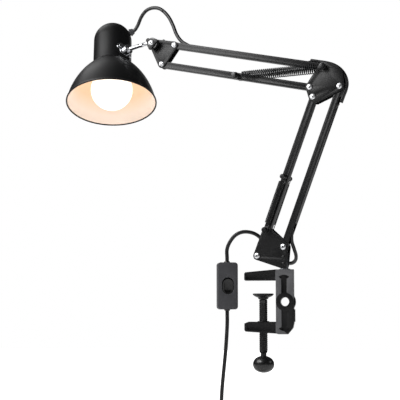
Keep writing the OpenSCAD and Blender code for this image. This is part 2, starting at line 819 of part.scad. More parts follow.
// The same outline moved inwards by the wall. Both parts end on a level cut where they meet.
function inner_of(p, i, wall) =
    p[i][0] == 0 ? p[i] - [0, wall]
    : p[i] == bell_top ? p[i] - [wall, 0]
    : let (t = along(p, i)) p[i] + wall * [-t[1], t[0]];
function walled(p) = concat(p, [for (i = [len(p) - 1:-1:0]) inner_of(p, i, shade_wall)]);

grommet_turn = 30;
grommet_lift = 22;
grommet_hole_d = 9;

module at_grommet() {
    translate([0, 0, dome_at]) rotate([0, -grommet_lift, grommet_turn]) translate([neck_r, 0, 0])
        rotate([0, 90, 0]) children();
}

flange_t = 1.8;
cup_rivet_d = 3.2;
// The two rivets lie on a slanting line across the neck
rivet_turn = 18;
rivet_drop = 5.5;

module at_cup_rivets() {
    for (side = [-1, 1]) translate([0, 0, ball_at - side * rivet_drop])
        rotate([0, 0, side * rivet_turn]) rotate([0, 90, 0]) children();
}

// The spun bell with its rolled rim
module shade() {
    color("#111113") in_shade() {
        rotate_extrude($fn = 96) polygon(walled(bell_outer));
        rotate_extrude($fn = 96) translate([rim_r - 0.2, 0]) circle(d = rim_bead_d, $fn = 24);
    }
}

// The neck that houses the lamp holder, with its domed end
module shade_neck() {
    color("#111113") in_shade() difference() {
        rotate_extrude($fn = 96) polygon(walled(neck_outer));
        at_grommet() cylinder(d = grommet_hole_d, h = 8, center = true);
        at_cup_rivets() cylinder(d = cup_rivet_d, h = neck_r + 5);
    }
}

// The socket's outline: a boss on the flange, hollowed for the ball past its middle
socket_lip = 2.6;
socket_back = neck_r + flange_t - 0.9;
module socket_profile() {
    seat_r = ball_d / 2 + socket_clear;
    back = socket_back - ball_out;
    from = asin(-socket_lip / seat_r) + 180;
    steps = 12;
    polygon(concat([[0, back], [ball_d / 2 + 3, back], [ball_d / 2 + 3, socket_lip]],
        [for (i = [0:steps]) let (t = 180 - from - (270 - from) * i / steps)
            seat_r * [i == steps ? 0 : cos(t), sin(t)]]));
}

// The bracket on the neck: an oval flange with a socket that holds the ball
module bracket_cup() {
    rivet_y = neck_r * sin(rivet_turn);
    color("#dfe0e2") in_shade() difference() {
        union() {
            intersection() {
                translate([0, 0, ball_at]) rotate([90, 0, 90]) linear_extrude(ball_out) union() {
                    circle(d = cup_d);
                    lobed([[-rivet_y, rivet_drop], [rivet_y, -rivet_drop]], [5.5, 5.5]);
                }
                difference() {
                    cylinder(r = neck_r + flange_t, h = 2 * ball_at);
                    translate([0, 0, -1]) cylinder(r = neck_r, h = 2 * ball_at + 2);
                }
                translate([0, -ball_out, 0]) difference() {
                    cube([ball_out, 2 * ball_out, 2 * ball_at]);
                    translate([socket_back, ball_out, ball_at]) rotate([0, 90, 0])
                        cylinder(d = ball_d, h = ball_out);
                }
            }
            translate([ball_out, 0, ball_at]) rotate([0, 90, 0]) rotate_extrude() socket_profile();
        }
        at_cup_rivets() cylinder(d = cup_rivet_d, h = ball_out + 5);
    }
}

module bracket_rivets() {
    head_at = neck_r + flange_t;
    tail_at = neck_r - shade_wall - strap_t - 1;
    color("#e6e7e9") in_shade() at_cup_rivets() {
        translate([0, 0, tail_at]) cylinder(d = cup_rivet_d, h = head_at - tail_at + 0.5);
        translate([0, 0, head_at]) intersection() {
            cylinder(d = 5.6, h = 1.6);
            translate([0, 0, 1.6 - 4.5]) sphere(r = 4.5);
        }
    }
}

module cord_grommet() {
    color("#0e0e10") in_shade() at_grommet() rotate_extrude() polygon([
        [cord_d / 2 + 0.1, -4], [6.2, -4], [6.2, -2.2], [grommet_hole_d / 2, -2.2],
        [grommet_hole_d / 2, 0.9], [6.2, 0.9], [6.2, 2.4], [4.4, 7.5], [cord_d / 2 + 0.1, 7.5]]);
}

// LAMP HOLDER AND BULB

strap_t = 1.5;
holder_low = 86;
holder_top = 118;
holder_r = 19;
cap_r = 13;
cap_low = 87.5;
cap_top = 112;
nipple_r = 5;

module lamp_holder() {
    nut_at = holder_top + strap_t;
    color("#e9e6dd") in_shade() rotate_extrude($fn = 64) polygon([
        [cap_r + 0.5, holder_low], [holder_r, holder_low], [holder_r, holder_low + 8],
        [holder_r - 1.2, holder_low + 9], [holder_r - 1.2, holder_low + 22],
        [holder_r - 5, holder_top], [nipple_r, holder_top], [nipple_r, nut_at],
        [nipple_r + 3, nut_at], [nipple_r + 3, nut_at + 2.5], [nipple_r, nut_at + 2.5],
        [nipple_r, nut_at + 4], [0, nut_at + 4], [0, cap_top + 1], [cap_r + 0.5, cap_top + 1]]);
}

// A strap riveted inside the neck that carries the holder
module holder_bracket() {
    reach = neck_r - shade_wall - 0.6;
    strap_w = 26;
    strap_low = ball_at - 12;
    top = holder_top + strap_t;
    color("#b8b9bb") in_shade() {
        difference() {
            union() {
                intersection() {
                    translate([0, -strap_w / 2, strap_low]) cube([neck_r, strap_w, 24]);
                    strap_ring(reach);
                }
                intersection() {
                    translate([0, -8, strap_low]) cube([neck_r, 16, top - strap_low]);
                    strap_ring(reach);
                }
                intersection() {
                    translate([0, -8, holder_top]) cube([neck_r, 16, strap_t]);
                    cylinder(r = reach, h = 200);
                }
                translate([0, 0, holder_top]) cylinder(r = 8, h = strap_t);
            }
            at_cup_rivets() cylinder(d = cup_rivet_d, h = neck_r + 5);
            translate([0, 0, holder_top - 1]) cylinder(r = nipple_r, h = 4);
        }
    }
}

module strap_ring(r) {
    difference() {
        cylinder(r = r, h = 200);
        translate([0, 0, -1]) cylinder(r = r - strap_t, h = 202);
    }
}

// A pear-shaped bulb: a blown ball that runs into a neck, open where the cap closes it
bulb_neck_r = 14;
bulb_steps = 16;
bulb_wall = 1;

module bulb_glass() {
    r = bulb_d / 2;
    leave = 52;
    neck_from = [r * cos(leave), bulb_at + r * sin(leave)];
    neck = [[neck_from[0] - 3, neck_from[1] + 6], [bulb_neck_r + 1, cap_low - 8],
        [bulb_neck_r - 0.6, cap_low - 3], [cap_r - 0.4, cap_low]];
    color("#fff6e0") in_shade() rotate_extrude($fn = 64) polygon(concat(
        bulb_ball(r, leave), neck,
        [for (i = [len(neck) - 1:-1:0]) neck[i] - [bulb_wall, 0]],
        [for (i = [bulb_steps:-1:0]) bulb_ball(r - bulb_wall, leave)[i]]));
}

function bulb_ball(r, leave) =
    [for (i = [0:bulb_steps]) let (t = -90 + (90 + leave) * i / bulb_steps)
        [r * cos(t) * (i == 0 ? 0 : 1), bulb_at + r * sin(t)]];

module bulb_cap() {
    bore_r = cap_r - 1.8;
    color("#c7c8ca") in_shade() rotate_extrude($fn = 48) polygon([
        [bore_r, cap_low], [cap_r, cap_low], [cap_r, cap_low + 1.5], [cap_r - 0.8, cap_low + 2.4],
        [cap_r - 0.8, cap_top - 7], [cap_r - 3, cap_top - 4], [5, cap_top - 2],
        [4.2, cap_top], [0, cap_top], [0, cap_top - 6], [bore_r - 2, cap_top - 6],
        [bore_r, cap_top - 8]]);
}

// CORDS

function to_arm(p) =
    let (c = cos(swing), s = sin(swing))
    [post_x + c * p[0] - s * p[1], s * p[0] + c * p[1], clamp_top + p[2]];

// Each route is one list, and the nodes of a cord are stretches of it between two rings, so
// that neighbours meet face to face.
grommet_dir = about_z([cos(grommet_lift), 0, sin(grommet_lift)], grommet_turn);
function through_grommet(past) =
    shade_to_arm([0, 0, dome_at] + (neck_r + past) * grommet_dir);

// From the lamp holder through the dome, over the loop and down to the forearm
head_route = concat([through_grommet(-11), through_grommet(-4), through_grommet(8)],
    [[-257, 21, 400], [-249, 17, 411], [-239, 13, 419], [-227, 10, 422], [-214, 8, 420],
    [-203, 6, 413], [-192, 3, 401], [-184, 1, 387], [-177, 0, 371], [-168, 0, 359],
    [-156, 0, 351]]);
head_split = 6;

// The flat sleeve on the bars' outer walls, round the elbow
elbow_route = [[44, 0, 308], [55, 0, 305.4], [67, 0, 302.5], [78, 0, 298.5], [88, 0, 291.5],
    [95, 0, 282], [98.2, 0, 271], [97, 0, 261], [93, 0, 251], [89, 0, 241]];
elbow_split = 4;

// Out of the lower arm, round behind the bracket and on to the switch
lead_route = [[11.7, 0, 57.4], [10.9, 0, 48.5], [10.6, 2.2, 40], [12.3, 6.6, 30],
    [12.5, 13.7, 21.5], [9, 21.7, 15], [1.5, 29, 11], [-8.5, 34, 11], [-19, 35.7, 14.2],
    [-28, 33.8, 20.5], [-34, 28.8, 28.4], [-37, 22.5, 37], [-41.5, 17, 46], [-52, 12, 55],
    [-66, 7, 58], [-78, 3, 54], [-87, 1, 44], [-92, 0, 32], [-92, 0, 19], [-92, 0, 6]];
lead_split = 7;
low_route = [[-92, 0, -52], [-92, 0, -65], [-92, 0, -78], [-93, 0, -97], [-95, 0, -122],
    [-98, 0, -150], [-101, 0, -180], [-102, 0, -206], [-102, 0, -224], [-102, 0, -240]];

module cord_tube(route, from, to) {
    color("#131315") tube([for (p = route) to_arm(p)], cord_d, 8, from = from, to = to);
}

module head_cord_front() { cord_tube(head_route, 0, head_split); }
module head_cord_back() { cord_tube(head_route, head_split, len(head_route) - 1); }
module base_cord() { cord_tube(lead_route, 0, lead_split); }
module mains_cord_upper() { cord_tube(lead_route, lead_split, len(lead_route) - 1); }
module mains_cord_lower() { cord_tube(low_route, 0, len(low_route) - 1); }

module elbow_tube(from, to) {
    arm_normal = [sin(swing), -cos(swing), 0];
    color("#131315") tube([for (p = elbow_route) to_arm(p)], sleeve_w, 10, arm_normal,
        from, to, sleeve_t);
}

module elbow_sleeve_top() { elbow_tube(0, elbow_split); }
module elbow_sleeve_side() { elbow_tube(elbow_split, len(elbow_route) - 1); }

// The lengths inside the bars, lying on the floor of each bore and rising to the slots.
// Each place is the distance along the bar and the height over its middle.
bore_floor = bar_wall + cord_d / 2 - bar_w / 2 + 0.1;
function fore_cord_line() = [[22.4, 3.4], [32, 0.2], [44, bore_floor],
    [fore_len - 46, bore_floor], [fore_len - 34, 0.9], [fore_len - 24, 5]];
function lower_cord_line() = [[27.07, 2.15], [35.7, -0.3], [50, bore_floor],
    [lower_len - 46, bore_floor], [lower_len - 34, 0.9], [lower_len - 24, 5]];

module forearm_cord() {
    color("#131315") along_fore(head_top)
        tube([for (p = fore_cord_line()) [p[0], 0, p[1]]], cord_d, 8);
}

module lower_arm_cord() {
    color("#131315") along_lower(base_front)
        tube([for (p = lower_cord_line()) [p[0], 0, -p[1]]], cord_d, 8);
}

// SWITCH

switch_at = [-92, 0, -23];
switch_turn = 32;
collar_t = 2;

module in_switch() {
    in_arm() translate(switch_at) rotate([0, 0, switch_turn]) children();
}

module switch_outline(inset) {
    corner = 4.5 - inset;
    w = switch_w / 2 - inset - corner;
    l = switch_len / 2 - inset - corner;
    lobed([[-w, -l], [w, -l], [w, l], [-w, l]], [corner, corner, corner, corner]);
}

split_y = 2;
rocker_y = -4.5;
rocker_t = 7;
rocker_gap = 0.8;
rocker_tip = 9;
trunnion_d = 2.4;
cord_bore = cord_d + 0.4;

module switch_half(front) {
    y0 = front ? -switch_t / 2 : split_y;
    depth = front ? switch_t / 2 + split_y : switch_t / 2 - split_y;
    translate([0, y0 + depth, 0]) rotate([90, 0, 0]) linear_extrude(depth) switch_outline(0);
}

module switch_base() {
    color("#2b2b2e") in_switch() difference() {
        switch_half(false);
        cylinder(d = cord_bore, h = switch_len + 2, center = true);
    }
}

module rocker_outline(gap) {
    r = rocker_w / 2 + gap;
    rise = (rocker_len - rocker_w) / 2;
    lobed([[0, -rise], [0, rise]], [r, r]);
}

module switch_cover() {
    room = 5.8;
    color("#2e2e31") in_switch() difference() {
        switch_half(true);
        cylinder(d = cord_bore, h = switch_len + 2, center = true);
        translate([0, rocker_y + room, 0]) rotate([90, 0, 0])
            linear_extrude(20) rocker_outline(rocker_gap);
        translate([0, rocker_y, 0]) rotate([0, 90, 0])
            cylinder(d = trunnion_d + 2 * pivot_clear, h = rocker_w + 5, center = true);
    }
}

// A rocker with a dished face, tipped about its trunnions
module switch_rocker() {
    dish_r = 40;
    dish = 1.8;
    front = -rocker_t / 2;
    color("#17171a") in_switch() translate([0, rocker_y, 0]) rotate([rocker_tip, 0, 0]) {
        difference() {
            translate([0, rocker_t / 2, 0]) rotate([90, 0, 0])
                linear_extrude(rocker_t) rocker_outline(0);
            translate([0, front + dish - dish_r, 0]) rotate([0, 90, 0])
                cylinder(r = dish_r, h = 30, center = true, $fn = 96);
        }
        rotate([0, 90, 0]) cylinder(d = trunnion_d, h = rocker_w + 4, center = true);
    }
}

module switch_collars() {
    color("#1b1b1d") in_switch() for (end = [0, 180]) rotate([end, 0, 0])
        translate([0, 0, switch_len / 2]) difference() {
            cylinder(d1 = cord_d + 4, d2 = cord_d + 2, h = collar_t);
            translate([0, 0, -1]) cylinder(d = cord_bore, h = collar_t + 2);
        }
}

// PUT-AWAY COIL

coil_rings = 24;
coil_pitch = cord_d + 0.6;
coil_outer = coil_r + coil_pitch * coil_turns / 4;
coil_in = low_route[len(low_route) - 1];
coil_centre = coil_in + [coil_outer, 0, -cord_d];
plug_top = coil_centre + [-coil_outer, coil_pitch, -2 * cord_d];
// Half the turns spiral in and the other half out again, in a second layer behind the first.
// The wire's two ends run straight for one diameter.
function coil_path() =
    let (n = coil_turns * coil_rings, half = coil_turns / 2)
    concat([coil_in],
        [for (i = [0:n]) let (turn = i / coil_rings,
                inward = turn < half ? turn : coil_turns - turn,
                r = coil_outer - coil_pitch * inward,
                layer = min(1, max(0, (turn - half + 0.25) * 2)),
                a = 180 + 360 * turn)
            coil_centre + [r * cos(a), layer * coil_pitch, r * sin(a)]],
        [plug_top]);

module mains_cord_coil() {
    path = coil_path();
    echo(coil_gap_mm = least_gap(path, coil_rings / 2, cord_d));
    echo(coil_length_mm = path_length(path));
    color("#131315") tube([for (p = path) to_arm(p)], cord_d, 6);
}

function path_length(p) =
    [for (i = 0, s = 0; i < len(p); i = i + 1,
        s = s + (i < len(p) ? norm(p[i] - p[i - 1]) : 0)) s][len(p) - 1];

// A tie round the coil's bundle, at its top
module coil_tie() {
    gap = 0.5;
    wall = 1.2;
    tall = coil_pitch * coil_turns / 2 + cord_d + 2 * gap;
    deep = coil_pitch + cord_d + 2 * gap;
    color("#3a3a3d") in_arm() translate(coil_centre + [0, coil_pitch / 2, coil_r]) difference() {
        cube([6, deep + 2 * wall, tall + 2 * wall], center = true);
        cube([8, deep, tall], center = true);
    }
}

plug_relief = 20;
plug_len = 24;

// A two-pin plug: a flat body with a round relief
module plug() {
    color("#161618") in_arm() translate(plug_top) {
        translate([0, 0, -plug_relief])
            cylinder(d1 = cord_d + 6, d2 = cord_d + 1.4, h = plug_relief);
        translate([0, 0, -plug_relief - plug_len]) linear_extrude(plug_len + sliver)
            lobed([[-8, 0], [8, 0]], [6.5, 6.5]);
    }
}

module plug_blades() {
    blade_gap = 12.7;
    blade = [1.5, 6.4, 17];
    color("#c9a95a") in_arm() translate(plug_top) for (side = [-1, 1])
        translate([side * blade_gap / 2 - blade[0] / 2, -blade[1] / 2,
            -plug_relief - plug_len - blade[2]]) cube(blade);
}

clamp_body();
pressure_pad();
clamp_screw();
screw_knob();
post();
base_plate_near();
base_plate_far();
base_screws();
base_nuts();
base_rivets();
lower_rear_bar();
lower_front_bar();
lower_spring_pin();
lower_spring_near();
lower_spring_far();
elbow_plate_near();
elbow_plate_far();
elbow_screws();
elbow_nuts();
elbow_spring_pin();
forearm_top_bar();
forearm_bottom_bar();
forearm_spring_pin();
forearm_spring_near();
forearm_spring_far();
head_plate_near();
head_plate_far();
head_screws();
head_nuts();
tilt_knuckle();
tilt_washer();
tilt_screw();
tilt_wing_nut();
ball_rod();
shade();
shade_neck();
bracket_cup();
bracket_rivets();
cord_grommet();
lamp_holder();
holder_bracket();
bulb_glass();
bulb_cap();
head_cord_front();
head_cord_back();
forearm_cord();
elbow_sleeve_top();
elbow_sleeve_side();
lower_arm_cord();
base_cord();
mains_cord_upper();
switch_base();
switch_cover();
switch_rocker();
switch_collars();
mains_cord_lower();
mains_cord_coil();
coil_tie();
plug();
plug_blades();
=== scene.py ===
"""Looks of a swing-arm architect lamp with a desk clamp, laid out as an add-on."""

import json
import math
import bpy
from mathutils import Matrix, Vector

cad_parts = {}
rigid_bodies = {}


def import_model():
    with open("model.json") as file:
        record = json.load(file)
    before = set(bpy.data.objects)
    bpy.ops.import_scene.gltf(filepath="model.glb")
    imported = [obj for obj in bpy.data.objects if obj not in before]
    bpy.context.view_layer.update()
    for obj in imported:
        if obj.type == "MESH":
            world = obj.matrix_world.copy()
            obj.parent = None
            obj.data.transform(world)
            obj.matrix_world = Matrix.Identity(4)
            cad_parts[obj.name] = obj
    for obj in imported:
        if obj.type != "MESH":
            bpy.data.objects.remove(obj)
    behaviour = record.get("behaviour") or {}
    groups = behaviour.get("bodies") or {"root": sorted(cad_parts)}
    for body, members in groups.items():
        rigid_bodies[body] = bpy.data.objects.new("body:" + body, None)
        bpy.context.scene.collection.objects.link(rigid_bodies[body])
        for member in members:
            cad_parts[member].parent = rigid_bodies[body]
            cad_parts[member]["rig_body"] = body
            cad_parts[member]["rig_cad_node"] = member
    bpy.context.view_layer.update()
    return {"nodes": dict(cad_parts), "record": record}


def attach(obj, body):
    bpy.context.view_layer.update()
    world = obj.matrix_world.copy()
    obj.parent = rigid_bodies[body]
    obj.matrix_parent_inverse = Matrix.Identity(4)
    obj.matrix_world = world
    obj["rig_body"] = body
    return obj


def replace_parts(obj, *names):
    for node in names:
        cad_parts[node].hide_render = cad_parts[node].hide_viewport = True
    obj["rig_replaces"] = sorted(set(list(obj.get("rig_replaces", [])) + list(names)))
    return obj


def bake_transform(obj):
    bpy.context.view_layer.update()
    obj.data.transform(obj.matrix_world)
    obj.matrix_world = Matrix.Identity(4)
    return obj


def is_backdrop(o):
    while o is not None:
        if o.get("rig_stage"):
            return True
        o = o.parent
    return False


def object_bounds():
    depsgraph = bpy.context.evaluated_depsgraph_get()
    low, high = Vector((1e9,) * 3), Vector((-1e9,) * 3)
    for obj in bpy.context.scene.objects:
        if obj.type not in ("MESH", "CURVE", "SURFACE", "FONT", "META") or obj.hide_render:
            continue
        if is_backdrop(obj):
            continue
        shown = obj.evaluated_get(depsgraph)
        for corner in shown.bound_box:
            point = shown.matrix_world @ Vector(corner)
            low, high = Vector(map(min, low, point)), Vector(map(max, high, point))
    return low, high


bl_info = {
    "name": "Swing-arm architect lamp",
    "version": (1, 0, 0),
    "blender": (4, 5, 0),
    "location": "View3D > Sidebar > Desk Lamp",
    "description": "Builds the clamp, the sprung arms, the shade, the cords and the stage",
    "category": "Add Mesh",
}

import bmesh
import bpy
from mathutils import Matrix, Vector

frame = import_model()

MM = 0.001

# The arm plane's own frame: x along the arms, y away from the front, z up from the clamp's
# top. Places in it are in millimetres, as in the part's source.
ARM = Matrix.Translation((0.032, 0, 0.016)) @ Matrix.Rotation(math.radians(-16.5), 4, "Z")
BALL = Vector((-257.7, -11.45, 352.6))
BALL_OUT, BALL_AT = 36.5, 82
SHADE = (
    ARM
    @ Matrix.Translation(BALL * MM)
    @ Matrix.Rotation(math.radians(-18), 4, "Z")
    @ Matrix.Rotation(math.radians(-14.5), 4, "Y")
    @ Matrix.Rotation(math.radians(-14), 4, "X")
    @ Matrix.Translation((-BALL_OUT * MM, 0, -BALL_AT * MM))
)
SWITCH = (
    ARM
    @ Matrix.Translation((-0.092, 0, -0.023))
    @ Matrix.Rotation(math.radians(32), 4, "Z")
)

# Pivots and pins in the arm plane, as x and z
BASE_PIVOTS = ((-41.0, 20.7), (0.0, 33.0))
ELBOW_PIVOTS = ((48.2, 251.8), (89.1, 264.1), (43.4, 266.7))
HEAD_PIVOTS = ((-200.2, 324.4), (-178.3, 352.7))
TILT = (-212.5, 357.0)
STUB = (-26.2, 58.3)
LOWER_PIN = (3.08, 135.53)
ELBOW_TOP = (65.3, 295.0)
FORE_PIN = (-73.4, 294.3)

# Slopes of the two arms against the level, in degrees, and the forearm's length
LOWER_ANGLE, FORE_ANGLE, FORE_LEN = 69, 13.3, 250
# How far the springs, the pan heads' tops and the tilt screw's top are from the arm's middle
SPRING_Y, PAN_HEAD_Y, TILT_HEAD_Y = 12.3, 8.7, 21.0
# The seam between the bell and the neck, and the neck's radius, in the shade's own frame
SEAM_Z, NECK_R = 68.0, 30.5
# The cord's grommet on the neck: its height, and the lift and turn of its axis
GROMMET_Z, GROMMET_LIFT, GROMMET_TURN = 115, math.radians(22), math.radians(30)
# The rocker's end radius, and half the length of its straight sides
ROCKER_R, ROCKER_RISE = 8.0, 3.5
# Steps that a smooth line makes between two points of a route
SPAN_STEPS = 6
# The side from which a cord's section is carried along it
CORD_SIDE = (0.13, 0.31, 0.94)
# The bevel of small hardware, in metres
FINE_EDGE = 0.0002


def arm_point(x, y, z):
    """A place in the arm's frame, as a point of the model in metres."""
    return ARM @ (Vector((x, y, z)) * MM)


def linear(code):
    """An sRGB hex code as linear red, green, blue and alpha."""
    parts = [int(code[i : i + 2], 16) / 255 for i in (1, 3, 5)]
    return (*[p / 12.92 if p <= 0.04045 else ((p + 0.055) / 1.055) ** 2.4 for p in parts], 1)


# PROPERTIES


def colour(name, description, code):
    return bpy.props.FloatVectorProperty(
        name=name, description=description, subtype="COLOR", size=4, min=0, max=1,
        default=linear(code),
    )


def length(name, description, default, low, high):
    return bpy.props.FloatProperty(
        name=name, description=description, default=default, min=low, max=high,
        unit="LENGTH", subtype="DISTANCE",
    )


class LampSizes(bpy.types.PropertyGroup):
    """Sizes that stay free once the frame is fixed"""

    cord_d: length("Cord", "Diameter of the mains cord", 0.0056, 0.004, 0.0058)
    sleeve_w: length("Sleeve width", "Width of the flat sleeve at the elbow", 0.008, 0.006, 0.009)
    sleeve_t: length("Sleeve thickness", "Thickness of that sleeve", 0.0046, 0.004, 0.005)
    fore_wire: length("Forearm spring wire", "Wire of the forearm's springs", 0.0015, 0.001, 0.0016)
    lower_wire: length("Lower spring wire", "Wire of the lower springs", 0.0013, 0.001, 0.0017)
    press_edge: length("Pressed edge", "Rounding of the pressed steel's edges", 0.00025, 0.0001, 0.0006)
    cast_edge: length("Cast edge", "Rounding of the casting's edges", 0.0007, 0.0003, 0.0015)
    fore_curls: bpy.props.IntProperty(
        name="Forearm curls", description="Curls of a forearm spring", default=37, min=19, max=45
    )
    lower_curls: bpy.props.IntProperty(
        name="Lower curls", description="Curls of a lower spring", default=48, min=13, max=50
    )
    thread_pitch: length("Thread pitch", "Pitch of the clamp's screw", 0.003, 0.0015, 0.004)
    bulb_light: bpy.props.FloatProperty(
        name="Bulb light", description="Strength of the lit bulb", default=1.0, min=0, max=20,
        subtype="FACTOR",
    )


class LampColours(bpy.types.PropertyGroup):
    """Colours of the lamp's finishes"""

    enamel: colour("Bar paint", "Black powder coat of the bars and plates", "#0f0f10")
    shade: colour("Shade paint", "Black stove enamel of the shade", "#0a0a0b")
    casting: colour("Casting paint", "Black paint on the clamp", "#111112")
    # Painted highlight: the lighter colour of the clamp's lit raised faces
    lit_face_tone: colour("Painted highlight", "The clamp's raised faces, painted lighter where the light falls", "#575759")
    zinc: colour("Zinc plate", "Satin zinc of the pan-head screws", "#e9eaec")
    plating: colour("Plating", "Bright plating of the screws and the rod", "#d6d7da")
    steel: colour("Steel", "Plain steel of the post and the strap", "#8f9195")
    spring: colour("Spring wire", "Oiled spring wire", "#1c1d1f")
    plastic: colour("Plastic", "Moulded black plastic", "#404043")
    key_plastic: colour("Rocker", "Polished plastic of the rocker and the plug", "#09090a")
    jacket: colour("Cord jacket", "Soft plastic of the cord", "#0c0c0d")
    white_enamel: colour("Reflector", "Cream enamel inside the shade", "#fdf0e6")
    # Painted glow: the warmer colour where the bulb's light bounces in the shade
    painted_bulb_glow: colour("Painted bulb glow", "The enamel painted warmer round the bulb, as its glow", "#f5d6ba")
    holder: colour("Holder", "Moulded lamp holder", "#e9e4d8")
    glass: colour("Bulb", "Lit opal glass", "#fffaf0")
    brass: colour("Brass", "Plug blades", "#c2a25a")
    floor: colour("Floor", "Studio floor", "#f7f7f7")


def sizes():
    return bpy.context.scene.desk_lamp_sizes


def colours():
    return bpy.context.scene.desk_lamp_colours


# MATERIALS


def add(tree, kind, settings=None, links=None):
    """Adds a node with its settings, and links other nodes' outputs to its inputs."""
    made = tree.nodes.new(kind)
    for key, value in (settings or {}).items():
        if isinstance(key, int) or key in made.inputs:
            made.inputs[key].default_value = value
        else:
            setattr(made, key, value)
    for key, source in (links or {}).items():
        tree.links.new(source, made.inputs[key])
    return made


def new_material(name):
    """An empty material with its output, or the one already made."""
    found = bpy.data.materials.get(name)
    if found:
        return found, None, None
    found = bpy.data.materials.new(name)
    found.use_nodes = True
    tree = found.node_tree
    tree.nodes.clear()
    return found, tree, tree.nodes.new("ShaderNodeOutputMaterial")


def noise(tree, place, scale, detail, rough=0.5):
    """Noise with `scale` features to the metre, as an output from 0 to 1."""
    return add(tree, "ShaderNodeTexNoise",
               {"Scale": scale, "Detail": detail, "Roughness": rough},
               {"Vector": place}).outputs["Fac"]


def ramp(tree, source, low, high, out_low, out_high):
    """An output that runs from out_low to out_high while its source runs from low to high."""
    return add(tree, "ShaderNodeMapRange",
               {"From Min": low, "From Max": high, "To Min": out_low, "To Max": out_high},
               {"Value": source}).outputs["Result"]


def mixed(tree, share, first, second):
    """A mix of two colours, each given as a value or as another node's output."""
    values, links = {"data_type": "RGBA"}, {0: share}
    for key, side in ((6, first), (7, second)):
        given = links if isinstance(side, bpy.types.NodeSocket) else values
        given[key] = side
    return add(tree, "ShaderNodeMix", values, links).outputs[2]


def scaled(base, factor):
    """A colour made darker or lighter."""
    return [min(1, c * factor) for c in base[:3]] + [1]


def bumped(tree, height, depth):
    """The normal of a surface whose height varies by `depth` mm."""
    return add(tree, "ShaderNodeBump", {"Strength": 1.0, "Distance": depth * MM},
               {"Height": height}).outputs["Normal"]


def principled(tree, out, settings, links):
    """Gives a material its principled shader."""
    shader = add(tree, "ShaderNodeBsdfPrincipled", settings, links)
    tree.links.new(shader.outputs[0], out.inputs["Surface"])


def grained(
    name, base, spread, rough, rough_spread, grain, depth, patch=30, metal=0.0, specular=0.5,
    stretch=(1, 1, 1), flecks=None, painted_glow=None,
):
    """A surface whose grain is `grain` mm wide and `depth` mm deep, and whose colour drifts over
    patches `patch` mm wide. Flecks are specks of wear or dust: colour, mm and share. The painted glow
    is a warm light painted into the colour: its colour, the place it centres on, and from and to in mm.
    """
    made, tree, out = new_material(name)
    if tree is None:
        return made
    where = add(tree, "ShaderNodeTexCoord").outputs["Object"]
    place = add(tree, "ShaderNodeMapping", {"Scale": stretch}, {"Vector": where}).outputs["Vector"]
    fine = noise(tree, place, 1 / (grain * MM), 3.0, 0.55)
    broad = noise(tree, place, 1 / (patch * MM), 4.0)
    shown = mixed(tree, broad, scaled(base, 1 - spread), scaled(base, 1 + spread))
    if flecks:
        fleck_colour, fleck_mm, share = flecks
        specks = noise(tree, place, 1 / (fleck_mm * MM), 5.0)
        mask = ramp(tree, specks, 1 - share, 1.04 - share, 0.0, 0.5)
        shown = mixed(tree, mask, shown, fleck_colour)
    # Painted glow: the colour turns warm towards the bulb, standing in for its light
    if painted_glow:
        glow_colour, glow_centre, near, far = painted_glow
        away = add(tree, "ShaderNodeVectorMath", {"operation": "DISTANCE", 1: glow_centre},
                   {0: where}).outputs["Value"]
        shown = mixed(tree, ramp(tree, away, near * MM, far * MM, 1.0, 0.0), shown, glow_colour)
    gloss = ramp(tree, fine, 0.3, 0.7, rough - rough_spread, rough + rough_spread)
    principled(tree, out, {"Metallic": metal, "Specular IOR Level": specular},
               {"Base Color": shown, "Roughness": gloss, "Normal": bumped(tree, fine, depth)})
    return made


def bar_paint():
    # Powder coat on cold-rolled steel tube: semi-gloss, with an orange peel that is drawn
    # 2.5 mm wide, coarser than the real 1 mm, so that it shows.
    return grained("Powder coat on steel tube", colours().enamel, 0.25, 0.36, 0.06, 2.5, 0.04,
                   specular=0.3, flecks=((0.014, 0.014, 0.0145, 1), 6, 0.36))


def plate_paint():
    # The same coat on flat pressings, which dust and handling have dulled a little.
    return grained("Powder coat on pressed plate", colours().enamel, 0.3, 0.4, 0.06, 2.5, 0.04,
                   specular=0.3, flecks=((0.012, 0.012, 0.0125, 1), 5, 0.37))


def shade_paint():
    # Stove enamel on spun aluminium: satin and even, with a fine peel, and a gloss that drifts
    # slowly over the metal.
    made, tree, out = new_material("Satin stove enamel")
    if tree is None:
        return made
    where = add(tree, "ShaderNodeTexCoord").outputs["Object"]
    peel = noise(tree, where, 400.0, 2.0)
    drift = noise(tree, where, 14.0, 3.0)
    base = colours().shade
    principled(tree, out, {"Specular IOR Level": 0.29},
               {"Base Color": mixed(tree, drift, scaled(base, 0.8), scaled(base, 1.3)),
                "Roughness": ramp(tree, drift, 0.3, 0.7, 0.37, 0.44),
                "Normal": bumped(tree, peel, 0.02)})
    return made


def reflector_paint():
    # Cream enamel inside the shade: pale at the rim, and painted warmer further in, as a painted glow
    # of the bulb's light bouncing inside.
    return grained("Cream reflector enamel", colours().white_enamel, 0.02, 0.42, 0.04, 4, 0.02,
                   painted_glow=(colours().painted_bulb_glow, SHADE @ Vector((0, 0, 0.06)), 60, 80))


def cast_paint():
    # Black paint on die-cast zinc: the sand-like skin of the casting shows through it.
    return grained("Painted die casting", colours().casting, 0.3, 0.42, 0.1, 1.6, 0.09,
                   specular=0.3, flecks=((0.016, 0.016, 0.0165, 1), 4, 0.38))


def painted_highlight_paint():
    # The same paint, lighter on the clamp's raised faces: a painted highlight where the light falls on
    # them.
    return grained("Painted highlight on the casting", colours().lit_face_tone, 0.3, 0.36, 0.08, 1.6, 0.06,
                   patch=14, specular=0.35)


def screw_paint():
    # Blackened steel: glossier than the paint round it.
    return grained("Blackened steel", colours().enamel, 0.25, 0.3, 0.06, 3, 0.02, specular=0.6)


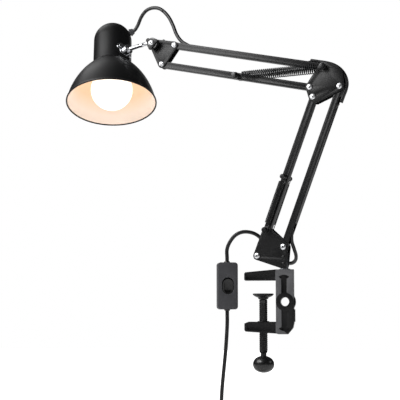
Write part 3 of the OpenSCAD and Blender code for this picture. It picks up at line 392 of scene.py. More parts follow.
def bright_plating():
    # Bright nickel on steel: a mirror with a faint haze and hairline polishing marks.
    return grained("Bright nickel plate", colours().plating, 0.03, 0.14, 0.05, 2, 0.006,
                   metal=1.0, stretch=(1, 1, 5))


def zinc_plating():
    # Zinc on the pan-head screws: satin, because the plating follows the pressed metal.
    return grained("Satin zinc plate", colours().zinc, 0.04, 0.34, 0.05, 1.5, 0.006, metal=1.0)


def recess_shadow():
    # The bottom of a screw's cross recess, painted dark as painted shade.
    return grained("Painted recess shade", (0.02, 0.02, 0.021, 1), 0.2, 0.6, 0.05, 1, 0.01)


def plain_steel():
    # Turned mild steel: duller than the plating, with fine turning marks across its axis.
    return grained("Turned mild steel", colours().steel, 0.1, 0.34, 0.08, 0.8, 0.01, metal=1.0,
                   stretch=(1, 1, 6))


def spring_wire():
    # Hard-drawn spring wire: dark, oiled and half metallic, so that its curls catch the light.
    return grained("Oiled spring wire", colours().spring, 0.15, 0.3, 0.06, 1.5, 0.005, metal=0.5)


def black_wire():
    # The lower springs are painted with the arm and stay black between their curls.
    return grained("Painted spring wire", colours().enamel, 0.2, 0.34, 0.05, 1.5, 0.01)


def moulded_plastic():
    # Moulded ABS: a fine spark-eroded texture, drawn at 1.5 mm so that it shows.
    return grained("Textured ABS", colours().plastic, 0.12, 0.46, 0.05, 1.5, 0.03, specular=0.4)


def glossy_plastic():
    # Polished ABS of the rocker, the plug and the end rings: smoother than the housing.
    return grained("Polished ABS", colours().key_plastic, 0.1, 0.2, 0.03, 3, 0.008)


def cord_jacket():
    # Soft PVC with a skin that the twisted wires print through, 14 mm apart along the cord.
    made, tree, out = new_material("Soft PVC jacket")
    if tree is None:
        return made
    where = add(tree, "ShaderNodeUVMap", {"uv_map": "along"})
    apart = add(tree, "ShaderNodeSeparateXYZ", None, {"Vector": where.outputs["UV"]})
    twist = add(tree, "ShaderNodeMath", {"operation": "MULTIPLY_ADD", 1: 450.0},
                {0: apart.outputs["Y"], 2: apart.outputs["X"]})
    print_through = add(tree, "ShaderNodeMath", {"operation": "SINE"}, {0: twist.outputs[0]})
    fine = noise(tree, add(tree, "ShaderNodeTexCoord").outputs["Object"], 600.0, 2.0)
    both = add(tree, "ShaderNodeMath", {"operation": "MULTIPLY_ADD", 1: 0.25},
               {0: print_through.outputs[0], 2: fine})
    base = colours().jacket
    principled(tree, out, {"Roughness": 0.38, "Specular IOR Level": 0.5},
               {"Base Color": mixed(tree, fine, scaled(base, 0.8), scaled(base, 1.3)),
                "Normal": bumped(tree, both.outputs[0], 0.06)})
    return made


def holder_plastic():
    # Heat-proof urea moulding: cream, slightly glossy, dulled by warmth.
    return grained("Urea moulding", colours().holder, 0.06, 0.35, 0.05, 3, 0.02)


def opal_glass():
    # Opal glass over a lit filament: it glows evenly, a little less towards its edge.
    made, tree, out = new_material("Lit opal glass")
    if tree is None:
        return made
    facing = add(tree, "ShaderNodeLayerWeight", {"Blend": 0.35}).outputs["Facing"]
    light = sizes().bulb_light
    principled(tree, out, {"Base Color": colours().glass, "Roughness": 0.25,
                           "Emission Color": colours().glass},
               {"Emission Strength": ramp(tree, facing, 0.0, 1.0, light, light * 0.8)})
    return made


def blade_brass():
    # Stamped brass: warm, with fine rolling marks along the blade.
    return grained("Stamped brass", colours().brass, 0.08, 0.28, 0.06, 1.2, 0.008, metal=1.0,
                   stretch=(6, 6, 1))


# MODELLING


def alone(piece):
    """Selects one object only and makes it active."""
    bpy.ops.object.select_all(action="DESELECT")
    piece.select_set(True)
    bpy.context.view_layer.objects.active = piece


def open_mesh(piece, mode="FACE"):
    """Opens one object in edit mode, with all of it selected."""
    alone(piece)
    bpy.ops.object.mode_set(mode="EDIT")
    bpy.ops.mesh.select_mode(type=mode)
    bpy.ops.mesh.select_all(action="SELECT")


def pick_faces(piece, test):
    """Selects, in edit mode, the faces whose centre and normal pass a test."""
    bpy.ops.mesh.select_mode(type="FACE")
    bpy.ops.mesh.select_all(action="DESELECT")
    mesh = bmesh.from_edit_mesh(piece.data)
    for face in mesh.faces:
        face.select_set(test(face.calc_center_median(), face.normal))
    bmesh.update_edit_mesh(piece.data)


def pick_edges(piece, test):
    """Selects, in edit mode, the edges whose two ends pass a test."""
    bpy.ops.mesh.select_mode(type="EDGE")
    bpy.ops.mesh.select_all(action="DESELECT")
    mesh = bmesh.from_edit_mesh(piece.data)
    for edge in mesh.edges:
        edge.select_set(test(edge.verts[0].co, edge.verts[1].co))
    bmesh.update_edit_mesh(piece.data)


def clean(gap=1e-7):
    """Merges doubles and turns the faces outwards, in edit mode, and leaves edit mode."""
    bpy.ops.mesh.select_all(action="SELECT")
    bpy.ops.mesh.remove_doubles(threshold=gap)
    bpy.ops.mesh.normals_make_consistent(inside=False)
    bpy.ops.object.mode_set(mode="OBJECT")


def put(piece, matrix):
    """Moves a piece's mesh to its place, and leaves the object at the origin."""
    alone(piece)
    piece.matrix_world = matrix
    bpy.context.view_layer.update()
    bpy.ops.object.transform_apply(location=True, rotation=True, scale=True)


def rounded(piece, width, segments=2, angle=32):
    """Rounds the sharp edges with a bevel that is then applied."""
    alone(piece)
    edge = piece.modifiers.new("Rounded edges", "BEVEL")
    edge.limit_method = "ANGLE"
    edge.angle_limit = math.radians(angle)
    edge.width = width
    edge.segments = segments
    edge.use_clamp_overlap = True
    edge.miter_outer = "MITER_ARC"
    bpy.ops.object.modifier_apply(modifier=edge.name)


def done(piece, name, body, material, stands_for=(), angle=40, more=()):
    """Names, shades, paints and hangs a finished piece."""
    piece.name = name
    piece.data.name = name
    alone(piece)
    if angle:
        bpy.ops.object.shade_smooth_by_angle(angle=math.radians(angle))
    kept = [p.material_index for p in piece.data.polygons] if more else None
    piece.data.materials.clear()
    for one in (material, *more):
        piece.data.materials.append(one)
    if kept:
        piece.data.polygons.foreach_set("material_index", kept)
    if body:
        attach(piece, body)
    if stands_for:
        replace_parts(piece, *stands_for)
    return piece


def turned(profile, steps=48, place=None):
    """A turned shape: its outline, radius and height in mm, is drawn corner by corner from a
    plane merged to one corner, and spun about the axis."""
    bpy.ops.object.select_all(action="DESELECT")
    bpy.ops.mesh.primitive_plane_add(size=0.002)
    piece = bpy.context.object
    open_mesh(piece, "VERT")
    bpy.ops.mesh.merge(type="CENTER")
    first = profile[0]
    bpy.ops.transform.translate(value=(first[0] * MM, 0, first[1] * MM))
    for a, b in zip(profile, profile[1:]):
        step = ((b[0] - a[0]) * MM, 0, (b[1] - a[1]) * MM)
        bpy.ops.mesh.extrude_vertices_move(TRANSFORM_OT_translate={"value": step})
    bpy.ops.mesh.select_all(action="SELECT")
    bpy.ops.mesh.spin(steps=steps, angle=math.tau, center=(0, 0, 0), axis=(0, 0, 1))
    clean(2e-6)
    if place is not None:
        put(piece, place)
    return piece


def copy_of(node):
    """A copy of a CAD node, merged and with its flat faces joined, ready to be worked on."""
    source = frame["nodes"][node]
    piece = source.copy()
    piece.data = source.data.copy()
    piece.parent = None
    piece.matrix_world = Matrix.Identity(4)
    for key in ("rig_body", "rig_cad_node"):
        del piece[key]
    bpy.context.scene.collection.objects.link(piece)
    open_mesh(piece)
    bpy.ops.mesh.customdata_custom_splitnormals_clear()
    bpy.ops.mesh.remove_doubles(threshold=1e-6)
    bpy.ops.mesh.dissolve_limited(angle_limit=math.radians(0.4))
    bpy.ops.object.mode_set(mode="OBJECT")
    return piece


BODY_OF = {
    node: body
    for body, nodes in frame["record"]["behaviour"]["bodies"].items()
    for node in nodes
}


def softened(node, name, material, width, segments=2, angle=32):
    """A CAD node's shape with its edges rounded, as pressing, turning or casting leaves them."""
    piece = copy_of(node)
    rounded(piece, width, segments, angle)
    return done(piece, name, BODY_OF[node], material, [node])


def pressed(node, name):
    """The near and the far plate of a bracket, which are pressed alike."""
    for side in ("_near", "_far"):
        softened(node + side, name + side, plate_paint(), sizes().press_edge)


def pan_screws(node, name, places, head_y):
    """A group of pan-head screws, with the bottoms of their cross recesses painted dark as painted
    shade. Places are x and z in the arm plane, and head_y is how far the heads' tops stand to the
    front."""
    piece = copy_of(node)
    rounded(piece, 0.00015)
    back = ARM.inverted()
    # The recess in mm: its reach, and its depth under a crown that falls off from the middle
    reach, crown, fall, floor = 1.5, 0.28, 0.06, 1.6
    for face in piece.data.polygons:
        at = back @ face.center / MM
        off = min(math.hypot(at.x - x, at.z - z) for x, z in places)
        sunk = crown + fall * off * off < at.y + head_y < floor
        # Painted shade: the deep faces of each cross recess get the dark recess material
        face.material_index = 1 if off < reach and sunk else 0
    return done(piece, name, BODY_OF[node], zinc_plating(), [node],
                more=(recess_shadow(),))


# CORDS AND WIRE


def smooth_line(points, per_span=SPAN_STEPS):
    """A smooth line through points, which passes each of them."""
    ends = [2 * points[0] - points[1], *points, 2 * points[-1] - points[-2]]
    line = []
    for i in range(1, len(ends) - 2):
        a, b, c, d = ends[i - 1 : i + 3]
        steps = per_span if i < len(ends) - 3 else per_span + 1
        for k in range(steps):
            t = k / per_span
            line.append(
                0.5 * ((2 * b) + (c - a) * t + (2 * a - 5 * b + 4 * c - d) * t * t
                       + (3 * b - a - 3 * c + d) * t ** 3)
            )
    return line


def frames_along(line, start):
    """The two sides at each point of a line, carried without twisting."""
    out = []
    side = Vector(start)
    for i, _ in enumerate(line):
        along = (line[min(i + 1, len(line) - 1)] - line[max(i - 1, 0)]).normalized()
        side = (side - along * side.dot(along)).normalized()
        out.append((side, along.cross(side)))
    return out


def swept(name, line, frames, section):
    """A closed tube along a line. The section gives its outline in metres as (side, up)."""
    mesh = bmesh.new()
    uv_layer = mesh.loops.layers.uv.new("along")
    count = len(section)
    rings, travelled = [], [0.0]
    for a, b in zip(line, line[1:]):
        travelled.append(travelled[-1] + (b - a).length)
    for point, (side, up) in zip(line, frames):
        rings.append([mesh.verts.new(point + side * s + up * u) for s, u in section])
    for i in range(len(rings) - 1):
        for k in range(count):
            j = (k + 1) % count
            face = mesh.faces.new((rings[i][k], rings[i][j], rings[i + 1][j], rings[i + 1][k]))
            face.smooth = True
            turn = [k, k + 1, k + 1, k]
            row = [i, i, i + 1, i + 1]
            for loop, t, r in zip(face.loops, turn, row):
                loop[uv_layer].uv = (math.tau * t / count, travelled[r])
    mesh.faces.new(list(reversed(rings[0])))
    mesh.faces.new(rings[-1])
    bmesh.ops.recalc_face_normals(mesh, faces=mesh.faces)
    data = bpy.data.meshes.new(name)
    mesh.to_mesh(data)
    mesh.free()
    piece = bpy.data.objects.new(name, data)
    bpy.context.scene.collection.objects.link(piece)
    return piece


def cord_section(d):
    """A round cord with a shallow moulded groove down two sides, where its cores part."""
    groove, starts, sides = 0.09, 0.86, 20
    out = []
    for k in range(sides):
        t = math.tau * k / sides
        off = abs(math.sin(t))
        r = d / 2 * (1 - groove * max(0, off - starts) / (1 - starts))
        out.append((r * math.cos(t), r * math.sin(t)))
    return out


def oval_section(w, t, sides=20):
    """The outline of a flat sleeve, or of a round wire where w and t are the same."""
    return [(w / 2 * math.cos(math.tau * k / sides), t / 2 * math.sin(math.tau * k / sides))
            for k in range(sides)]


HEAD_ROUTE = [(-257, 21, 400), (-249, 17, 411), (-239, 13, 419), (-227, 10, 422),
              (-214, 8, 420), (-203, 6, 413), (-192, 3, 401), (-184, 1, 387), (-177, 0, 371),
              (-168, 0, 359), (-156, 0, 351)]
ELBOW_ROUTE = [(44, 0, 308), (55, 0, 305.4), (67, 0, 302.5), (78, 0, 298.5), (88, 0, 291.5),
               (95, 0, 282), (98.2, 0, 271), (97, 0, 261), (93, 0, 251), (89, 0, 241)]
LEAD_ROUTE = [(11.7, 0, 57.4), (10.9, 0, 48.5), (10.6, 2.2, 40), (12.3, 6.6, 30),
              (12.5, 13.7, 21.5), (9, 21.7, 15), (1.5, 29, 11), (-8.5, 34, 11),
              (-19, 35.7, 14.2), (-28, 33.8, 20.5), (-34, 28.8, 28.4), (-37, 22.5, 37),
              (-41.5, 17, 46), (-52, 12, 55), (-66, 7, 58), (-78, 3, 54), (-87, 1, 44),
              (-92, 0, 32), (-92, 0, 19), (-92, 0, 6)]
LOW_ROUTE = [(-92, 0, -52), (-92, 0, -65), (-92, 0, -78), (-93, 0, -97), (-95, 0, -122),
             (-98, 0, -150), (-101, 0, -180), (-102, 0, -206), (-102, 0, -224),
             (-102, 0, -240)]
LEAD_SPLIT = 7


def grommet_point(past):
    """A point on the grommet's axis, past mm outside the neck."""
    flat = math.cos(GROMMET_LIFT)
    way = Vector((flat * math.cos(GROMMET_TURN), flat * math.sin(GROMMET_TURN),
                  math.sin(GROMMET_LIFT)))
    return SHADE @ ((Vector((0, 0, GROMMET_Z)) + way * (NECK_R + past)) * MM)


def coil_line():
    """The put-away coil: three turns spiral in, and three spiral out again behind them."""
    turns, per_turn, pitch, radius = 6, 28, 6.2, 33.5
    outer = radius + pitch * turns / 4
    start = Vector(LOW_ROUTE[-1])
    centre = start + Vector((outer, 0, -5.6))
    places = []
    for i in range(turns * per_turn + 1):
        turn = i / per_turn
        inward = turn if turn < turns / 2 else turns - turn
        r = outer - pitch * inward
        layer = min(1, max(0, (turn - turns / 2 + 0.25) * 2))
        a = math.pi + math.tau * turn
        places.append(centre + Vector((r * math.cos(a), layer * pitch, r * math.sin(a))))
    places.append(centre + Vector((-outer, pitch, -11.2)))
    return [arm_point(*p) for p in places]


# The pieces that the lead carries
ON_THE_LEAD = ("moulded_plug", "brass_blades", "coil_strap", "switch_back_half",
               "switch_front_half", "switch_rocker_key", "switch_end_rings")


def make_cords():
    """The cords outside the bars, each on its own smooth line."""
    d = sizes().cord_d
    jacket = cord_jacket()

    # The loop over the head, in three lengths between the shade, the rod and the bar
    points = [grommet_point(p) for p in (-11, -4, 8)] + [arm_point(*p) for p in HEAD_ROUTE]
    line = smooth_line(points)
    frames = frames_along(line, CORD_SIDE)
    cuts = [0, 5 * SPAN_STEPS, 8 * SPAN_STEPS, len(line) - 1]
    parts = (("head_cord_at_shade", "shade", "link", ["head_cord_front"]),
             ("head_cord_over_rod", "link", "head", []),
             ("head_cord_at_forearm", "head", "top_bar", ["head_cord_back"]))
    for (name, first, last, nodes), a, b in zip(parts, cuts, cuts[1:]):
        stretch = line[a : b + 1]
        piece = swept(name, stretch, frames[a : b + 1], cord_section(d))
        done(piece, name, None, jacket, nodes, angle=None)
        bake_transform(piece)

    # The flat sleeve round the elbow, in two lengths
    points = [arm_point(*p) for p in ELBOW_ROUTE]
    line = smooth_line(points)
    frames = frames_along(line, ARM.to_3x3() @ Vector((0, -1, 0)))
    split = 27
    parts = (("elbow_sleeve_over", 0, split, "top_bar", "elbow", "elbow_sleeve_top"),
             ("elbow_sleeve_down", split, len(line) - 1, "elbow", "front_bar",
              "elbow_sleeve_side"))
    for name, a, b, first, last, node in parts:
        stretch = line[a : b + 1]
        piece = swept(name, stretch, frames[a : b + 1],
                      oval_section(sizes().sleeve_w, sizes().sleeve_t))
        done(piece, name, None, jacket, [node], angle=None)
        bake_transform(piece)

    # The lead: out of the lower arm, round the bracket, through the switch and into its coil
    points = [arm_point(*p) for p in LEAD_ROUTE]
    top = smooth_line(points)
    coil = coil_line()
    low = smooth_line([points[-1]] + [arm_point(*p) for p in LOW_ROUTE[:-1]] + coil[:1], 5)
    line = top + low[1:-1] + coil
    frames = frames_along(line, CORD_SIDE)
    split = SPAN_STEPS * LEAD_SPLIT
    first, rest = line[: split + 1], line[split:]
    piece = swept("lead_at_bracket", first, frames[: split + 1], cord_section(d))
    done(piece, "lead_at_bracket", None, jacket, ["base_cord"], angle=None)
    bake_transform(piece)
    piece = swept("mains_lead", rest, frames[split:], cord_section(d))
    done(piece, "mains_lead", "base", jacket,
         ["mains_cord_upper", "mains_cord_lower", "mains_cord_coil"], angle=None)


def inner_cords():
    """The lengths inside the two hollow bars, which show at the slots."""
    d = sizes().cord_d
    jacket = cord_jacket()
    lower, fore = math.radians(LOWER_ANGLE), math.radians(FORE_ANGLE)
    lower_way = Vector((math.cos(lower), 0, math.sin(lower)))
    lower_up = Vector((math.sin(lower), 0, -math.cos(lower)))
    fore_way = Vector((math.cos(fore), 0, -math.sin(fore)))
    fore_up = Vector((math.sin(fore), 0, math.cos(fore)))
    head_top = Vector((ELBOW_TOP[0], 0, ELBOW_TOP[1])) - FORE_LEN * fore_way
    # Each place is the distance along the bar and the height over its middle
    runs = (
        ("cord_in_forearm", "forearm_cord", head_top, fore_way, fore_up,
         [(22.4, 3.4), (32, 0.2), (44, -1.2), (124, -1.2), (204, -1.2), (216, 0.9), (226, 5)]),
        ("cord_in_lower_arm", "lower_arm_cord", Vector((0, 0, 33)), lower_way, lower_up,
         [(27.07, 2.15), (35.7, -0.3), (50, -1.2), (126, -1.2), (202, -1.2), (214, 0.9), (224, 5)]),
    )
    for name, node, origin, way, up, places in runs:
        line = smooth_line([arm_point(*(origin + way * a + up * b)) for a, b in places])
        piece = swept(name, line, frames_along(line, CORD_SIDE), cord_section(d))
        done(piece, name, BODY_OF[node], jacket, [node], angle=None)


def spring_line(first, last, y, coil_d, wire, curls, body):
    """A spring's wire from hook to hook, in the arm's frame."""
    rings, hook_rings, hook_turn, hook_r = 14, 14, 290, 2.5 + wire / 2 + 0.2
    start, end = Vector((first[0], y, first[1])), Vector((last[0], y, last[1]))
    way = (end - start).normalized()
    span = (end - start).length
    up = Vector((-way.z, 0, way.x))
    r = (coil_d - wire) / 2
    flat = []
    for i in range(hook_rings + 1):
        t = math.radians(-90 - hook_turn * (1 - i / hook_rings))
        flat.append((hook_r * math.cos(t), 0, hook_r * math.sin(t)))
    n = curls * rings
    for i in range(n + 1):
        ramp = min(1, min(i, n - i) / rings)
        now = hook_r + (r - hook_r) * ramp
        t = math.radians(-90 + 360 * i / rings)
        flat.append((body[0] + (body[1] - body[0]) * i / n, now * math.cos(t),
                     now * math.sin(t)))
    for i in range(hook_rings + 1):
        t = math.radians(-90 + hook_turn * i / hook_rings)
        flat.append((span + hook_r * math.cos(t), 0, hook_r * math.sin(t)))
    return [arm_point(*(start + way * a + Vector((0, b, 0)) + up * c)) for a, b, c in flat]


def make_springs():
    """Two pairs of springs: each is wound once and copied to the other side of the bars."""
    s = sizes()
    pairs = (
        ("lower_spring", STUB, LOWER_PIN, 8.4, s.lower_wire / MM, s.lower_curls,
         lambda span: (10.5, span - 7.5), "base", "rear_bar", black_wire),
        ("forearm_spring", FORE_PIN, ELBOW_TOP, 10, s.fore_wire / MM, s.fore_curls,
         lambda span: (11, span - 13), "bottom_bar", "elbow", spring_wire),
    )
    for name, first, last, coil_d, wire, curls, body, body_a, body_b, paint in pairs:
        span = (Vector(last) - Vector(first)).length
        line = spring_line(first, last, -SPRING_Y, coil_d, wire, curls, body(span))
        frames = frames_along(line, ARM.to_3x3() @ Vector((0, 1, 0)))
        near = swept(name + "_near", line, frames, oval_section(wire * MM, wire * MM, 8))
        done(near, name + "_near_coil", None, paint(), [name + "_near"],
             angle=None)
        far = near.copy()
        far.data = near.data.copy()
        far["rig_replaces"] = []
        bpy.context.scene.collection.objects.link(far)
        shift = ARM.to_3x3() @ Vector((0, 2 * SPRING_Y * MM, 0))
        put(far, Matrix.Translation(shift))
        done(far, name + "_far_coil", None, paint(), [name + "_far"], angle=None)
        for piece in (near, far):
            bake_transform(piece)


# PIECES


def arc(centre, r, first, last, steps):
    """Points on an arc, in the plane of an outline, by angle in degrees."""
    return [(centre[0] + r * math.cos(math.radians(first + (last - first) * i / steps)),
             centre[1] + r * math.sin(math.radians(first + (last - first) * i / steps)))
            for i in range(steps + 1)]


def make_clamp():
    """The casting with its two sockets, the screw with its thread, the knob and the pad."""
    casting = copy_of("clamp_body")
    # The lower jaw thins less towards its tip than the plain casting
    jaw_top, jaw_root, jaw_reach, tip_drop = -66, 19, 46, 2.4
    for v in casting.data.vertices:
        x, z = v.co.x / MM, v.co.z / MM
        if z < jaw_top and x < jaw_root:
            v.co.z -= tip_drop * MM * (jaw_root - x) / jaw_reach
    rounded(casting, sizes().cast_edge, 2, 28)
    # The side faces lie between these two distances from the middle. Cut into triangles, each
    # of them can be painted by its centre.
    low_y, high_y = 9.3, 10.05
    open_mesh(casting)
    pick_faces(casting, lambda c, n: abs(n.y) > 0.9 and low_y < abs(c.y / MM) < high_y)
    bpy.ops.mesh.quads_convert_to_tris(quad_method="BEAUTY", ngon_method="BEAUTY")
    bpy.ops.object.mode_set(mode="OBJECT")
    # Painted highlight on the column's raised faces and the jaws' upward tops, where the light falls;
    # the ring boss, the sunk faces and the lower right corner keep the dark paint, the corner as
    # painted shade
    left, right, foot, top = 18.6, 45.4, -78.2, 16.2
    socket_x, socket_z, ring_r = 32, -31, 13.2
    for face in casting.data.polygons:
        x, y, z = face.center / MM
        column = left < x < right and foot < z < top and low_y < abs(y) < high_y
        ring = math.hypot(x - socket_x, z - socket_z) < ring_r
        painted_shade_corner = x > socket_x and z < socket_z
        painted_lit = column and not ring and not painted_shade_corner and abs(face.normal.y) > 0.5
        lit_ledge = face.normal.z > 0.8 and x < jaw_root
        face.material_index = 1 if painted_lit or lit_ledge else 0
    done(casting, "clamp_casting", "clamp", cast_paint(), ["clamp_body"],
         more=(painted_highlight_paint(),))
    pad_top, pad_r = -19.0, 15.5
    pad = turned([
        (0, pad_top - 2.2), (pad_r - 4, pad_top - 1.4), (pad_r - 1.6, pad_top - 0.25),
        (pad_r - 0.9, pad_top), (pad_r - 0.2, pad_top - 0.4), (pad_r, pad_top - 1.1),
        (pad_r - 0.5, pad_top - 1.7), (pad_r - 1.2, pad_top - 2.5), (pad_r - 2.4, pad_top - 3.5),
        (pad_r - 4, pad_top - 4.4), (9.4, pad_top - 5.2), (8, pad_top - 5.8),
        (7.3, pad_top - 6.7), (7.2, pad_top - 8), (4.3, pad_top - 8), (4.3, pad_top - 4.2),
        (0, pad_top - 4.2)], 64)
    done(pad, "pressure_pad_cup", "pad", cast_paint(), ["pressure_pad"])
    make_screw()
    top = -109.2
    half, r = 12.3, 15.7
    knob_line = [(0, top), (4.3, top), (4.6, top - 0.4)]
    steps, stem_r = 26, 4.8
    for i in range(1, steps - 1):
        t = math.radians(90 - 180 * i / steps)
        out = r * math.cos(t) ** 0.9
        if out > stem_r:
            knob_line.append((out, top - half + half * math.sin(t)))
    knob_line += [(4.2, top - 2 * half + 0.25), (2.2, top - 2 * half), (0, top - 2 * half)]
    knob = turned(knob_line, 64)
    done(knob, "screw_hand_knob", "screw", screw_paint(), ["screw_knob"])


def make_screw():
    """The screw's stem: a turned neck, and a thread swept round the core."""
    stem_top, low = -27.3, -27.3 - 84
    core, crest, neck = 5.6, 6.0, 4.3
    stem = turned([
        (0, stem_top + 3.8), (3.4, stem_top + 3.8), (4.0, stem_top + 3.2), (4.0, stem_top),
        (5.2, stem_top), (5.9, stem_top - 0.7), (5.9, stem_top - 3.6), (core, stem_top - 4.4),
        (core, low + 8.6), (5.9, low + 7.8), (5.9, low + 7.2), (5.4, low + 6.6),
        (neck, low + 5.8), (neck, low + 0.1), (0, low + 0.1)], 40)
    pitch = sizes().thread_pitch / MM
    first, last = stem_top - 4.6, low + 8.8
    turns = (first - last) / pitch
    steps = int(turns * 30)
    # The thread's foot is sunk a little into the core
    sunk = 0.15
    r = core - sunk
    line = []
    for i in range(steps + 1):
        t = math.tau * turns * i / steps
        line.append(Vector((r * math.cos(t), r * math.sin(t), first - pitch * turns * i / steps))
                    * MM)
    frames = []
    for point in line:
        outward = Vector((point.x, point.y, 0)).normalized()
        frames.append((outward, Vector((0, 0, 1))))
    high = crest - core + sunk
    tooth = [(0, pitch * 0.42), (high * 0.8, pitch * 0.37), (high, pitch * 0.32),
             (high, -pitch * 0.32), (high * 0.8, -pitch * 0.37), (0, -pitch * 0.42)]
    thread = swept("thread", line, frames, [(a * MM, b * MM) for a, b in tooth])
    alone(stem)
    thread.select_set(True)
    bpy.ops.object.join()
    done(stem, "clamp_screw_thread", "screw", screw_paint(), ["clamp_screw"],
         angle=35)


def make_base():
    """The post and the two pressed plates of the bracket with their screws and rivets."""
    edge = sizes().press_edge
    softened("post", "turned_post", plain_steel(), edge)
    pressed("base_plate", "bracket_plate")
    softened("base_rivets", "bracket_rivets_black", plate_paint(), edge)
    pan_screws("base_screws", "bracket_screws", BASE_PIVOTS, PAN_HEAD_Y)
    softened("base_nuts", "bracket_nuts", bright_plating(), FINE_EDGE)


def make_arms():
    """The four square bars and the pins that the springs hook on."""
    for node in ("lower_rear_bar", "lower_front_bar", "forearm_top_bar", "forearm_bottom_bar"):
        softened(node, node + "_tube", bar_paint(), 0.0004, 3, 50)
    for arm in ("lower", "forearm"):
        softened(arm + "_spring_pin", arm + "_hook_pin", screw_paint(), FINE_EDGE)


def make_elbow():
    """The elbow's two plates, its screws and nuts, and the pin of the top pivot."""
    pressed("elbow_plate", "elbow_pressing")
    pan_screws("elbow_screws", "elbow_pan_screws", ELBOW_PIVOTS, PAN_HEAD_Y)
    softened("elbow_nuts", "elbow_hex_nuts", bright_plating(), FINE_EDGE)
    softened("elbow_spring_pin", "elbow_hook_pin", screw_paint(), FINE_EDGE)


def make_head():
    """The head's plates, the tilt joint and the rod with its ball."""
    pressed("head_plate", "head_pressing")
    pan_screws("head_screws", "head_pan_screws", HEAD_PIVOTS, PAN_HEAD_Y)
    softened("head_nuts", "head_hex_nuts", bright_plating(), FINE_EDGE)
    softened("tilt_knuckle", "tilt_barrel", screw_paint(), 0.0008, 3)
    softened("tilt_washer", "lobed_washer", plate_paint(), 0.0005, 2)
    pan_screws("tilt_screw", "tilt_pan_screw", (TILT,), TILT_HEAD_Y)
    softened("tilt_wing_nut", "wing_nut_pressing", bright_plating(), 0.0005, 3)
    # The rod starts at its ball and ends inside the tilt knuckle, and dips towards the ball
    ball_r, end_at, dip = 5, 42.04, 10.5
    rod = turned(
        [(0, -ball_r)] + arc((0, 0), ball_r, -75, 50, 10)
        + [(3.3, 4.6), (3.4, 5.6), (3.1, 22.6), (3.4, 23.0), (3.5, 23.6), (3.5, 26.8),
           (3.4, 27.3), (3, 27.8), (3, end_at - 0.4), (2.6, end_at), (0, end_at)],
        40, ARM @ Matrix.Translation(BALL * MM) @ Matrix.Rotation(math.radians(90 - dip), 4, "Y"))
    done(rod, "ball_and_rod", "link", bright_plating(), ["ball_rod"])


def shade_lines():
    """The outlines of the bell and of the neck, rim to dome, each as outer and inner points."""
    rim_r, arc_r, dome_at, wall = 70.5, 125.0, 115.0, 0.9
    neck_r, bell_h = NECK_R, SEAM_Z
    top = Vector((neck_r + 1.2, bell_h))
    chord = top - Vector((rim_r, 0))
    middle = Vector((rim_r, 0)) + chord / 2
    half = chord.length / 2
    centre = middle + math.sqrt(arc_r ** 2 - half ** 2) * Vector(
        (-chord.y, chord.x)) / chord.length
    first = math.atan2(-centre.y, rim_r - centre.x)
    last = math.atan2(top.y - centre.y, top.x - centre.x)
    bell = []
    for i in range(33):
        t = first + (last - first) * i / 32
        bell.append(centre + arc_r * Vector((math.cos(t), math.sin(t))))
    neck = [top, Vector((neck_r + 0.75, bell_h + 0.5)), Vector((neck_r + 0.35, bell_h + 1.1)),
            Vector((neck_r + 0.1, bell_h + 1.8)), Vector((neck_r, bell_h + 2.7)),
            Vector((neck_r, 84)), Vector((neck_r, 100))]
    for i in range(25):
        t = math.radians(90 * i / 24)
        neck.append(Vector((neck_r * math.cos(t) if i < 24 else 0,
                            dome_at + neck_r * math.sin(t))))
    lines = []
    for outer in (bell, neck):
        inner = []
        for i, p in enumerate(outer):
            if p.x == 0:
                inner.append(p - Vector((0, wall)))
            elif (p - top).length < 0.001:
                inner.append(p - Vector((wall, 0)))
            else:
                way = (outer[i + 1] - outer[max(i - 1, 0)]).normalized()
                inner.append(p + wall * Vector((-way.y, way.x)))
        lines.append((outer, inner))
    return lines


